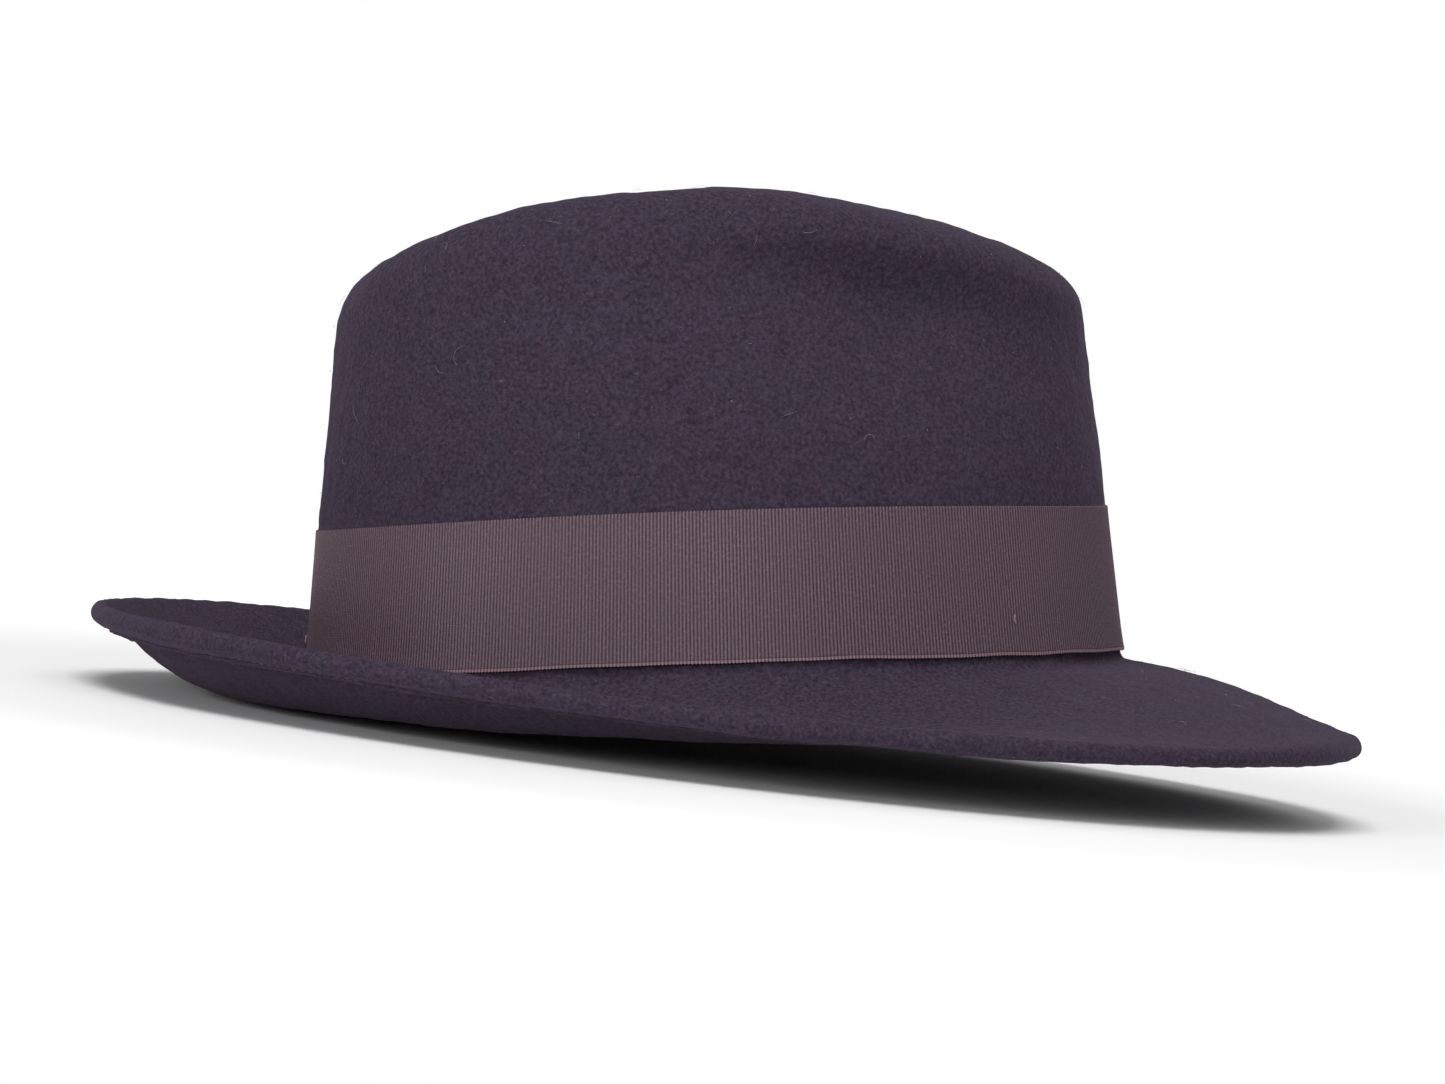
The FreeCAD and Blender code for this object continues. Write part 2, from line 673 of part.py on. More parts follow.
def size_tag():
    """The blank cloth tag inside, with rounded corners."""
    body = document.addObject("PartDesign::Body", "size_tag")
    pad = add_plate(body, "tag_cloth", "tag_width", "tag_height", "tag_thickness")
    upright = [
        f"Edge{number}"
        for number, edge in enumerate(pad.Shape.Edges, start=1)
        if abs(edge.tangentAt(edge.FirstParameter).z) > 0.9
    ]
    corners = body.newObject("PartDesign::Fillet", "tag_corners")
    corners.Base = (pad, upright)
    corners.setExpression("Radius", "Sizes.tag_corner")
    depth = sweatband_depth(hat.tag_level) + hat.sweat_thickness + hat.tag_gap
    body.Placement = rest * wall_frame(math.radians(hat.tag_angle), hat.tag_level, depth)
    return body


def sweatband_bow():
    """The little bow at the back of the sweatband: folded ribbon with a knot on it."""
    body = document.addObject("PartDesign::Body", "sweatband_bow")
    add_plate(body, "bow_ribbon", "small_bow_width", "small_bow_height", "small_bow_thickness")
    add_plate(body, "bow_knot", "small_knot_width", "small_knot_height", "small_knot_thickness")
    seam_depth = sweatband_depth(hat.sweat_high) + hat.sweat_thickness + hat.seam_tape_thickness
    depth = seam_depth + hat.small_bow_gap
    body.Placement = rest * wall_frame(BACK, hat.small_bow_level, depth)
    return body


def hatband_tacks():
    """Four upright tack stitches on the ribbon, two on each side of the hat."""
    threads = []
    depth = -hat.ribbon_thickness - 2 * hat.fitting_gap - hat.tack_radius
    for side in (-1, 1):
        for number in range(2):
            angle = side * math.radians(hat.tack_angle + number * hat.tack_spread)
            thread = document.addObject("Part::Cylinder", "tack_thread")
            thread.setExpression("Radius", "Sizes.tack_radius")
            thread.setExpression("Height", "Sizes.tack_length")
            upright = Placement(Vector(0, 0, 0), Rotation(Vector(1, 0, 0), -90))
            thread.Placement = wall_frame(angle, hat.tack_height, depth) * upright
            threads.append(thread)
    group = document.addObject("Part::Compound", "hatband_tacks")
    group.Links = threads
    group.Placement = rest
    return group


sub_parts.extend(build() for build in (size_tag, sweatband_bow, hatband_tacks))
document.recompute()

# --- Checks and export -----------------------------------------------------------------------------

for item in document.Objects:
    if {"Invalid", "Error"} & set(item.State):
        raise RuntimeError(f"{item.Label} failed: {item.State}")

os.makedirs("parts", exist_ok=True)
for item in sub_parts:
    item.Label = item.Name
    if item.Shape.isNull() or not item.Shape.isValid():
        raise RuntimeError(f"{item.Label} has no valid shape")
    item.Shape.exportStep(f"parts/{item.Label}.step")
    bounds = item.Shape.BoundBox
    print(f"{item.Label}: {item.Shape.Volume:.0f} mm3, {len(item.Shape.Solids)} solids, {bounds}")
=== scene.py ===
"""The looks of a wool-felt fedora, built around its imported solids.

Shapes are worked out in the hat's own frame in millimetres (+X to the front, +Y to the wearer's left,
+Z up the crown) and then tipped to the pitch at which the hat rests, in metres, in the row's frame.
"""

import logging
import math
from collections.abc import Callable, Sequence
from dataclasses import dataclass, field
from enum import Enum
from typing import Any, NamedTuple

import bmesh
import bpy
import numpy as np
from mathutils import Matrix, Vector


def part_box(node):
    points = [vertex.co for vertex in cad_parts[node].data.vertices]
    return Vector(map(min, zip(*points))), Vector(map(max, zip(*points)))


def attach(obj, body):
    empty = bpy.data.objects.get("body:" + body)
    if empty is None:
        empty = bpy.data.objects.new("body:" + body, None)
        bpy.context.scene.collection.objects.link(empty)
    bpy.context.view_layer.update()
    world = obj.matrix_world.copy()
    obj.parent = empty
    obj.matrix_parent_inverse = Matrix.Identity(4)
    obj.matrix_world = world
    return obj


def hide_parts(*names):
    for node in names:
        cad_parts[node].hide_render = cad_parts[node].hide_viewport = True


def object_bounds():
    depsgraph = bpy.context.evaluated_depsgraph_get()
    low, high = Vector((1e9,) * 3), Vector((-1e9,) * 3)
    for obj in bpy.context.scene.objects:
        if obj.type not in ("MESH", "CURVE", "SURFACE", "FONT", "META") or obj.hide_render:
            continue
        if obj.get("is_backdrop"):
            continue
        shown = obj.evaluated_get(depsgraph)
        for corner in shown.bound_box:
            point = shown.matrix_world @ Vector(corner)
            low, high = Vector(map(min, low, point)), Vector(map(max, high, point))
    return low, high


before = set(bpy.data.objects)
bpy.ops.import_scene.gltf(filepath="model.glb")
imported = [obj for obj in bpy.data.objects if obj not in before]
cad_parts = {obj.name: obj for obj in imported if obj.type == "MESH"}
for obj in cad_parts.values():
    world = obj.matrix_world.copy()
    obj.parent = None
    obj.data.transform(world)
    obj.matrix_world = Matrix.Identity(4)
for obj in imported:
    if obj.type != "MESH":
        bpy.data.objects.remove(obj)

CAD_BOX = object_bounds()
LOG = logging.getLogger("fedora")
MM = 0.001
LEFT = math.pi / 2
ANGLE_SLACK = 1e-6
UP = np.array([0.0, 0.0, 1.0])
FELT_NODES = ("felt_tip", "felt_side", "felt_brim")


# --- The hat's shape -------------------------------------------------------------------------------


class Around(NamedTuple):
    """A size with one value at the front, one at both sides and one at the back."""

    front: float
    side: float
    back: float

    def at(self, angle: np.ndarray) -> np.ndarray:
        """Give the size at angles from the front.

        Args:
            angle: angles round the head, in radians.

        Returns:
            The size at each angle.
        """
        ahead = np.cos(angle)
        return (
            self.side
            + (self.front - self.back) / 2 * ahead
            + ((self.front + self.back) / 2 - self.side) * ahead**2
        )


def smooth_step(share: np.ndarray | float) -> np.ndarray | float:
    """Rise from 0 to 1 with no slope at either end."""
    share = np.clip(share, 0.0, 1.0)
    return share * share * (3 - 2 * share)


def unit(vectors: np.ndarray) -> np.ndarray:
    """Scale each vector to length 1."""
    return vectors / np.linalg.norm(vectors, axis=-1, keepdims=True)


def points(x: Any, y: Any, z: Any) -> np.ndarray:
    """Stack three coordinates into points, spreading single numbers over the rest."""
    return np.stack(np.broadcast_arrays(x, y, z), axis=-1).astype(float)


def column(values: np.ndarray | float) -> np.ndarray:
    """Turn one number per point into a column that multiplies vectors."""
    return np.asarray(values, float)[..., None]


@dataclass(frozen=True)
class HatShape:
    """The felt's upper face as one formula, in the hat's own frame and in millimetres.

    The station goes from the middle of the crown's top (0) over the ridge (1), down the shoulder (2)
    and the wall (3), round the root (4) and out over the brim to its edge (5).
    """

    oval_half_length: float = 104.5
    oval_half_width: float = 85.5
    oval_egg: float = 0.03
    root_rise: float = 3.0
    taper: Around = Around(4.7, 6.0, 6.5)
    crown_height: float = 121.3
    crown_peak: float = -4.0
    ridge_fall: float = 0.0009
    ridge_power: float = 2.253
    ridge_level: float = 100.0
    shoulder_drop: float = 14.25
    ridge_inset: Around = Around(19.0, 18.0, 10.9)
    teardrop_squeeze: float = 0.35
    teardrop_start: float = -20.0
    teardrop_length: float = 110.0
    dent_middle: float = -12.0
    dent_flat: float = 0.22
    dent_floor: float = 94.0
    dent_floor_fall: float = 0.0022
    pinch_depth: float = 11.0
    pinch_middle: float = 44.0
    pinch_reach: float = 40.0
    pinch_level: float = 103.0
    pinch_slope: float = 0.24
    pinch_above: float = 12.0
    pinch_below: float = 22.0
    pinch_centre_fade: float = 20.0
    brim_width: Around = Around(58.4, 50.7, 49.6)
    brim_rise: Around = Around(-21.3, -5.1, 22.6)
    root_slope: Around = Around(-9.3, -41.0, -5.8)
    edge_slope: Around = Around(-20.2, 18.9, 44.8)
    root_pull: Around = Around(0.43, 0.60, 0.53)
    edge_pull: Around = Around(0.26, 0.33, 0.30)
    root_fillet: float = 2.5
    felt_thickness: float = 2.2
    edge_radius: float = 2.6
    welt_station: float = 4.89
    welt_thickness: float = 4.4

    def root_height(self, angle: np.ndarray) -> np.ndarray:
        """Height of the line where wall and brim meet."""
        return self.root_rise * np.sin(angle) ** 2

    def bare_wall(self, angle: np.ndarray, z: Any) -> np.ndarray:
        """The crown's leaning wall with no pinch in it.

        Args:
            angle: angles round the head.
            z: heights in the hat's frame.

        Returns:
            Points on the wall.
        """
        front, side, back = (math.tan(math.radians(lean)) for lean in self.taper)
        ahead = np.cos(angle)
        x = self.oval_half_length * ahead - z * ((front + back) / 2 * ahead + (front - back) / 2)
        y = (self.oval_half_width - z * side) * np.sin(angle) * (1 - self.oval_egg * ahead)
        return points(x, y, z)

    def pinched(self, at: np.ndarray) -> np.ndarray:
        """Push points in by the finger pinch on their side of the crown.

        Args:
            at: points in the hat's frame, in millimetres.

        Returns:
            The pushed points.
        """
        x, y, z = at[..., 0], at[..., 1], at[..., 2]
        valley = self.pinch_level - self.pinch_slope * x
        fade = np.where(z > valley, self.pinch_above, self.pinch_below)
        along = np.exp(-(((x - self.pinch_middle) / self.pinch_reach) ** 2))
        across = np.exp(-(((z - valley) / fade) ** 2))
        push = self.pinch_depth * along * across * np.tanh(y / self.pinch_centre_fade)
        return points(x, y - push, z)

    def bare_ridge(self, angle: np.ndarray) -> np.ndarray:
        """The ridge round the dent, before the pinch: a teardrop, blunt at the back.

        Args:
            angle: angles round the head, in radians.

        Returns:
            One point for each angle.
        """
        wall = self.bare_wall(angle, self.ridge_level)
        shrink = 1 - self.ridge_inset.at(angle) / np.hypot(wall[..., 0], wall[..., 1])
        x = wall[..., 0] * shrink
        taper = np.clip((x - self.teardrop_start) / self.teardrop_length, 0, 1) ** 1.5
        y = wall[..., 1] * shrink * (1 - self.teardrop_squeeze * taper)
        fall = self.ridge_fall * np.abs(x - self.crown_peak) ** self.ridge_power
        return points(x, y, self.crown_height - fall)

    def dent(self, angle: np.ndarray, share: float) -> np.ndarray:
        """The sunken top of the crown, from its middle (0) to the ridge (1).

        Args:
            angle: angles round the head, in radians.
            share: share of the way along.

        Returns:
            One point for each angle.
        """
        ridge = self.pinched(self.bare_ridge(angle))
        x = self.dent_middle + share * (ridge[..., 0] - self.dent_middle)
        floor = self.dent_floor - self.dent_floor_fall * (x - self.dent_middle) ** 2
        climb = smooth_step((share - self.dent_flat) / (1 - self.dent_flat))
        return points(x, share * ridge[..., 1], floor + (ridge[..., 2] - floor) * climb)

    def shoulder(self, angle: np.ndarray, share: float) -> np.ndarray:
        """The rounded shoulder, from the ridge (0) to the wall (1): a quarter of an ellipse.

        Args:
            angle: angles round the head, in radians.
            share: share of the way along.

        Returns:
            One point for each angle.
        """
        ridge = self.bare_ridge(angle)
        foot = self.bare_wall(angle, ridge[..., 2] - self.shoulder_drop)
        lean = self.bare_wall(angle, ridge[..., 2]) - foot
        turn = (1 - share) * math.pi / 2
        arc = foot + lean * math.sin(turn) + (ridge - foot - lean) * (1 - math.cos(turn))
        arc[..., 2] = foot[..., 2] + self.shoulder_drop * math.sin(turn)
        return self.pinched(arc)

    def wall(self, angle: np.ndarray, z: Any) -> np.ndarray:
        """The crown's wall with the pinches in it."""
        return self.pinched(self.bare_wall(angle, z))

    def brim(self, angle: np.ndarray, share: Any) -> np.ndarray:
        """The brim, from its root (0) to its edge (1): one cubic arc at each angle.

        Args:
            angle: angles round the head, in radians.
            share: share of the way along.

        Returns:
            One point for each angle.
        """
        reach, rise = self.brim_width.at(angle), self.brim_rise.at(angle)
        root, edge = np.radians(self.root_slope.at(angle)), np.radians(self.edge_slope.at(angle))
        span = np.hypot(reach, rise)
        root_pull, edge_pull = span * self.root_pull.at(angle), span * self.edge_pull.at(angle)
        first, second = 3 * (1 - share) ** 2 * share, 3 * (1 - share) * share**2
        last = share**3
        out = first * root_pull * np.cos(root) + second * (reach - edge_pull * np.cos(edge)) + last * reach
        up = first * root_pull * np.sin(root) + second * (rise - edge_pull * np.sin(edge)) + last * rise
        facing = unit(points(self.oval_half_width * np.cos(angle), self.oval_half_length * np.sin(angle), 0))
        return self.bare_wall(angle, self.root_height(angle)) + facing * column(out) + UP * column(up)

    def root_share(self, angle: np.ndarray) -> np.ndarray:
        """Share of the brim's arc that the rounding at its root takes up.

        Args:
            angle: angles round the head, in radians.

        Returns:
            The share at each angle.
        """
        step = 0.01
        first = np.linalg.norm(self.brim(angle, step) - self.brim(angle, 0.0), axis=-1)
        return step * self.root_fillet / first

    def root(self, angle: np.ndarray, share: float) -> np.ndarray:
        """The rounding between the wall (0) and the brim (1), tangent to both.

        Args:
            angle: angles round the head, in radians.
            share: share of the way along.

        Returns:
            One point for each angle.
        """
        start = self.wall(angle, self.root_height(angle) + self.root_fillet)
        end = self.brim(angle, self.root_share(angle))
        return start * (1 - share) ** 2 + self.brim(angle, 0.0) * 2 * share * (1 - share) + end * share**2

    def face(self, angle: np.ndarray, station: float) -> np.ndarray:
        """Points of the felt's upper face at one station.

        Args:
            angle: angles round the head.
            station: place on the way from the crown's top to the brim's edge.

        Returns:
            One point for each angle.
        """
        if station <= 1:
            return self.dent(angle, station)
        if station <= 2:
            return self.shoulder(angle, station - 1)
        if station <= 3:
            top = self.bare_ridge(angle)[..., 2] - self.shoulder_drop
            foot = self.root_height(angle) + self.root_fillet
            return self.wall(angle, top + (foot - top) * (station - 2))
        if station <= 4:
            return self.root(angle, station - 3)
        start = self.root_share(angle)
        return self.brim(angle, start + (1 - start) * (station - 4))

    def axes(self, angle: np.ndarray, station: float) -> tuple[np.ndarray, np.ndarray]:
        """The outward normal of the upper face, and the direction down and out along it.

        Args:
            angle: angles round the head, in radians.
            station: place on the way from the crown's top to the brim's edge.

        Returns:
            Two unit vectors for each angle.
        """
        step = 0.002
        before, after = max(station - step, step), min(station + step, 5.0)
        along = self.face(angle, after) - self.face(angle, before)
        across = self.face(angle + step, station) - self.face(angle - step, station)
        return unit(np.cross(along, across)), unit(along)

    def below(self, angle: np.ndarray, station: float, depth: Any) -> np.ndarray:
        """Points at a depth below the felt's upper face."""
        return self.face(angle, station) - self.axes(angle, station)[0] * column(depth)

    def on_wall(self, angle: np.ndarray, height: Any, out: Any) -> np.ndarray:
        """Points beside the crown's wall.

        Args:
            angle: angles round the head.
            height: heights above the root of the brim.
            out: distances outwards from the felt's upper face, negative inside.

        Returns:
            One point for each angle.
        """
        z = self.root_height(angle) + height
        step = 0.002
        across = self.wall(angle + step, z) - self.wall(angle - step, z)
        up = self.wall(angle, z + step) - self.wall(angle, z)
        return self.wall(angle, z) + unit(np.cross(across, up)) * column(out)


@dataclass
class Girth:
    """Turns a length along the ribbon into an angle round the head, and back."""

    shape: HatShape
    height: float = 20.0
    angles: np.ndarray = field(init=False)
    lengths: np.ndarray = field(init=False)

    def __post_init__(self) -> None:
        """Measure the way round the crown once."""
        self.angles = np.linspace(-math.pi, math.pi, 4001)
        ring = self.shape.on_wall(self.angles, self.height, 0.5)
        steps = np.linalg.norm(np.diff(ring, axis=0), axis=1)
        self.lengths = np.concatenate([[0.0], np.cumsum(steps)])

    @property
    def total(self) -> float:
        """The whole way round the crown, in millimetres."""
        return float(self.lengths[-1])

    def angle_at(self, length: np.ndarray) -> np.ndarray:
        """The angle at a length measured from the back, counter-clockwise seen from above."""
        turns = np.floor(length / self.total)
        return np.interp(length - turns * self.total, self.lengths, self.angles) + turns * math.tau

    def length_at(self, angle: float) -> float:
        """The length from the back to an angle."""
        return float(np.interp(angle, self.angles, self.lengths))


def felt_box() -> tuple[np.ndarray, np.ndarray]:
    """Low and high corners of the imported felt, tip, side and brim together."""
    boxes = np.array([[list(corner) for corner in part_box(node)] for node in FELT_NODES])
    return boxes[:, 0].min(0), boxes[:, 1].max(0)


@dataclass(frozen=True)
class RestPose:
    """Tips the hat nose-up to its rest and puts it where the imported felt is."""

    pitch: float
    shift: np.ndarray

    @classmethod
    def of(cls, felt: np.ndarray, pitch_degrees: float) -> "RestPose":
        """Find the shift that lays the felt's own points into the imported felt's box.

        Args:
            felt: points of the felt in the hat's frame, in millimetres.
            pitch_degrees: how far the nose is up.

        Returns:
            The pose.
        """
        bare = cls(math.radians(pitch_degrees), np.zeros(3))
        tipped = bare.row_frame(felt)
        low, high = felt_box()
        middle = (low + high) / 2 - (tipped.min(0) + tipped.max(0)) / 2
        return cls(bare.pitch, np.array([middle[0], 0.0, low[2] - tipped[:, 2].min()]))

    @property
    def turn(self) -> np.ndarray:
        """The rotation as a matrix that multiplies columns."""
        c, s = math.cos(self.pitch), math.sin(self.pitch)
        return np.array([[c, 0.0, -s], [0.0, 1.0, 0.0], [s, 0.0, c]])

    def row_frame(self, at: np.ndarray) -> np.ndarray:
        """Move points from the hat's frame in millimetres to the row's frame in metres."""
        return at.reshape(-1, 3) @ self.turn.T * MM + self.shift


@dataclass(frozen=True)
class Unevenness:
    """A smooth wandering surface height, as a sum of seeded waves."""

    seed: int
    wavelength: float
    depth: float
    waves: int = 14

    def at(self, where: np.ndarray) -> np.ndarray:
        """The height at points in millimetres, about plus or minus the depth.

        Args:
            where: the coordinates that the noise is read at.

        Returns:
            A height for each point.
        """
        draw = np.random.default_rng(self.seed)
        directions = unit(draw.normal(size=(self.waves, 3)))
        lengths = self.wavelength * draw.uniform(0.7, 1.6, self.waves)
        phases = draw.uniform(0, math.tau, self.waves)
        angles = where @ (directions * (math.tau / lengths)[:, None]).T + phases
        return self.depth * np.sin(angles).sum(-1) * math.sqrt(2 / self.waves) / 1.6


# --- Meshes ----------------------------------------------------------------------------------------


@dataclass
class Workshop:
    """What every sub-assembly needs: the shape, the way round the crown and the rest pose."""

    shape: HatShape
    girth: Girth
    pose: RestPose

    def piece(
        self,
        name: str,
        at: np.ndarray,
        faces: Sequence[Sequence[int]] | np.ndarray,
        finish: bpy.types.Material,
        values: dict[str, np.ndarray] | None = None,
    ) -> bpy.types.Object:
        """Make one shown piece from points in the hat's frame.

        Args:
            name: the piece's name.
            at: its points, in millimetres.
            faces: corner numbers of each face.
            finish: its material.
            values: numbers or vectors kept on the points for the material.

        Returns:
            The new object, smooth-shaded, with its faces turned outwards.
        """
        mesh = bpy.data.meshes.new(name)
        corners = [list(face) for face in faces] if not isinstance(faces, np.ndarray) else faces.tolist()
        mesh.from_pydata(self.pose.row_frame(at).tolist(), [], corners)
        for key, numbers in (values or {}).items():
            kind, slot = ("FLOAT", "value") if numbers.ndim == 1 else ("FLOAT_VECTOR", "vector")
            kept = mesh.attributes.new(key, kind, "POINT")
            kept.data.foreach_set(slot, numbers.astype(np.float32).ravel())
        shaper = bmesh.new()
        shaper.from_mesh(mesh)
        bmesh.ops.recalc_face_normals(shaper, faces=shaper.faces)
        shaper.to_mesh(mesh)
        shaper.free()
        mesh.shade_smooth()
        mesh.materials.append(finish)
        made = bpy.data.objects.new(name, mesh)
        bpy.context.scene.collection.objects.link(made)
        return made


def settle(made: bpy.types.Object, slot: str, *nodes: str) -> bpy.types.Object:
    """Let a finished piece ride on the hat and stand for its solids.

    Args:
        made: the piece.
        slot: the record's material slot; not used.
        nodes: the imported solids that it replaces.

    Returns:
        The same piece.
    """
    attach(made, "root")
    if nodes:
        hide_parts(*nodes)
    solids = ", ".join(nodes) or "no solid"
    LOG.info("%s: %d points, stands for %s", made.name, len(made.data.vertices), solids)
    return made


def grid_faces(rows: int, columns: int, around: bool, along: bool = False, first: int = 0) -> np.ndarray:
    """Corner numbers of the quads between the points of a grid.

    Args:
        rows: how many rows the grid has.
        columns: points in each row.
        around: whether each row closes on itself.
        along: whether the last row meets the first.
        first: number of the grid's first point.

    Returns:
        One line of four corners for each quad.
    """
    row = np.arange(rows if along else rows - 1)[:, None]
    step = np.arange(columns if around else columns - 1)[None, :]
    below, after = (row + 1) % rows, (step + 1) % columns
    corners = [row * columns + step, below * columns + step, below * columns + after, row * columns + after]
    quads = np.stack([np.broadcast_to(corner, (row.size, step.size)) for corner in corners], -1)
    return quads.reshape(-1, 4) + first


def pole_faces(pole: int, ring: Sequence[int]) -> list[list[int]]:
    """Triangles that close a ring of points on to one point."""
    return [[pole, ring[index], ring[(index + 1) % len(ring)]] for index in range(len(ring))]


def tube(
    centre: np.ndarray, first: np.ndarray, second: np.ndarray, radius: Any, sides: int, closed: bool
) -> tuple[np.ndarray, list[list[int]]]:
    """A round tube along a line of points.

    Args:
        centre: the line.
        first: one direction across the line at each point.
        second: the other direction across it.
        radius: the tube's radius, one or one for each point.
        sides: flats round the tube.
        closed: whether the line closes on itself.

    Returns:
        The tube's points and its faces.
    """
    turns = np.arange(sides) * math.tau / sides
    reach = np.broadcast_to(np.asarray(radius, float), (len(centre),))[:, None, None]
    swing = first[:, None] * np.cos(turns)[None, :, None] + second[:, None] * np.sin(turns)[None, :, None]
    at = (centre[:, None] + swing * reach).reshape(-1, 3)
    faces = grid_faces(len(centre), sides, True, closed).tolist()
    if not closed:
        faces += [list(range(sides)), list(range((len(centre) - 1) * sides, len(centre) * sides))]
    return at, faces


def join(parts: Sequence[tuple[np.ndarray, list[list[int]]]]) -> tuple[np.ndarray, list[list[int]]]:
    """Put several meshes into one, keeping them as separate shells.

    Args:
        parts: each mesh's points and faces.

    Returns:
        All the points, and the faces with their new numbers.
    """
    faces: list[list[int]] = []
    start = 0
    for at, corners in parts:
        faces.extend([[corner + start for corner in face] for face in corners])
        start += len(at)
    return np.concatenate([at for at, _ in parts]), faces


def stitches(
    line: np.ndarray, outward: np.ndarray, length: float, radius: float, lift: float, slant: float = 0.0
) -> tuple[np.ndarray, list[list[int]]]:
    """Short raised stitches in a row, one at each point of a closed line.

    Args:
        line: the middle of each stitch.
        outward: the direction away from the cloth at each.
        length: a stitch's length.
        radius: the thread's radius.
        lift: how far a stitch's middle stands off its ends.
        slant: how far each stitch is turned from the row, in radians.

    Returns:
        The stitches' points and faces.
    """
    ahead = unit(np.roll(line, -1, 0) - np.roll(line, 1, 0))
    aside = unit(np.cross(outward, ahead))
    ahead = ahead * math.cos(slant) + aside * math.sin(slant)
    aside = np.cross(outward, ahead)
    parts = []
    for middle, forward, side, away in zip(line, ahead, aside, outward):
        share = np.linspace(-1, 1, 7)
        arc = middle + forward * column(share * length / 2) + away * column(lift * (1 - share**2) - radius)
        thickness = radius * np.sqrt(np.clip(1.02 - np.abs(share) ** 6, 0.02, 1))
        both = np.broadcast_to(side, arc.shape), np.broadcast_to(away, arc.shape)
        parts.append(tube(arc, *both, thickness, 6, False))
    return join(parts)


# --- Materials -------------------------------------------------------------------------------------


def srgb(code: str) -> tuple[float, float, float, float]:
    """Turn an sRGB hex colour such as "#3D3443" into linear red, green, blue and alpha.

    Args:
        code: the colour, such as "#3D3443".

    Returns:
        Linear red, green, blue and alpha.
    """
    channels = [int(code[place : place + 2], 16) / 255 for place in (1, 3, 5)]
    linear = [c / 12.92 if c <= 0.04045 else ((c + 0.055) / 1.055) ** 2.4 for c in channels]
    return (*linear, 1.0)


def add_node(
    tree: bpy.types.NodeTree,
    kind: str,
    settings: dict[str, Any] | None = None,
    values: dict[str | int, Any] | None = None,
    links: dict[str | int, bpy.types.NodeSocket] | None = None,
) -> bpy.types.Node:
    """Add one node with its settings and links.

    Args:
        tree: the material's nodes.
        kind: the node's type, without its ShaderNode prefix.
        settings: properties of the node.
        values: numbers and colours set on its inputs.
        links: sockets that feed its inputs.

    Returns:
        The node.
    """
    node = tree.nodes.new(f"ShaderNode{kind}")
    for key, value in (settings or {}).items():
        setattr(node, key, value)
    for socket, value in (values or {}).items():
        node.inputs[socket].default_value = value
    for socket, source in (links or {}).items():
        tree.links.new(source, node.inputs[socket])
    return node


def new_material(name: str) -> tuple[bpy.types.Material, bpy.types.NodeTree, bpy.types.Node]:
    """Start a material with a principled shader wired to its output.

    Args:
        name: the material's name.

    Returns:
        The material, its nodes and its shader.
    """
    material = bpy.data.materials.new(name)
    material.use_nodes = True
    tree = material.node_tree
    tree.nodes.clear()
    shader = add_node(tree, "BsdfPrincipled")
    add_node(tree, "OutputMaterial", links={"Surface": shader.outputs["BSDF"]})
    return material, tree, shader


def per_metre(size_mm: float) -> float:
    """The noise scale whose features are about this many millimetres wide, on metre coordinates."""
    return 1.0 / (size_mm * MM)


def wave_scale(spacing: float) -> float:
    """The wave texture's scale for bands this far apart: its own period is a twentieth of a turn."""
    return math.tau / 20 / spacing


def mix(
    tree: bpy.types.NodeTree, share: bpy.types.NodeSocket, low: Any, high: Any, blend: str = "MIX"
) -> bpy.types.NodeSocket:
    """Mix two colours by a share and give the result's socket.

    Args:
        tree: the material's nodes.
        share: the share of the second colour.
        low: the first colour, as numbers or as a socket.
        high: the second colour, as numbers or as a socket.
        blend: how they are mixed.

    Returns:
        The mixed colour.
    """
    sockets = {6: low, 7: high}
    values = {key: item for key, item in sockets.items() if not isinstance(item, bpy.types.NodeSocket)}
    links = {key: item for key, item in sockets.items() if isinstance(item, bpy.types.NodeSocket)}
    node = add_node(tree, "Mix", {"data_type": "RGBA", "blend_type": blend}, values, {0: share, **links})
    return node.outputs[2]


def remap(
    tree: bpy.types.NodeTree,
    source: bpy.types.NodeSocket,
    low: float,
    high: float,
    to_low: float,
    to_high: float,
) -> bpy.types.NodeSocket:
    """Stretch a number's range on to another and give the result's socket."""
    values = {"From Min": low, "From Max": high, "To Min": to_low, "To Max": to_high}
    return add_node(tree, "MapRange", {"clamp": True}, values, {"Value": source}).outputs["Result"]


def noise(
    tree: bpy.types.NodeTree, where: bpy.types.NodeSocket, size_mm: float, detail: float = 2.0
) -> bpy.types.NodeSocket:
    """Noise whose features are about a size in millimetres."""
    values = {"Scale": per_metre(size_mm), "Detail": detail, "Roughness": 0.55}
    return add_node(tree, "TexNoise", values=values, links={"Vector": where}).outputs["Fac"]


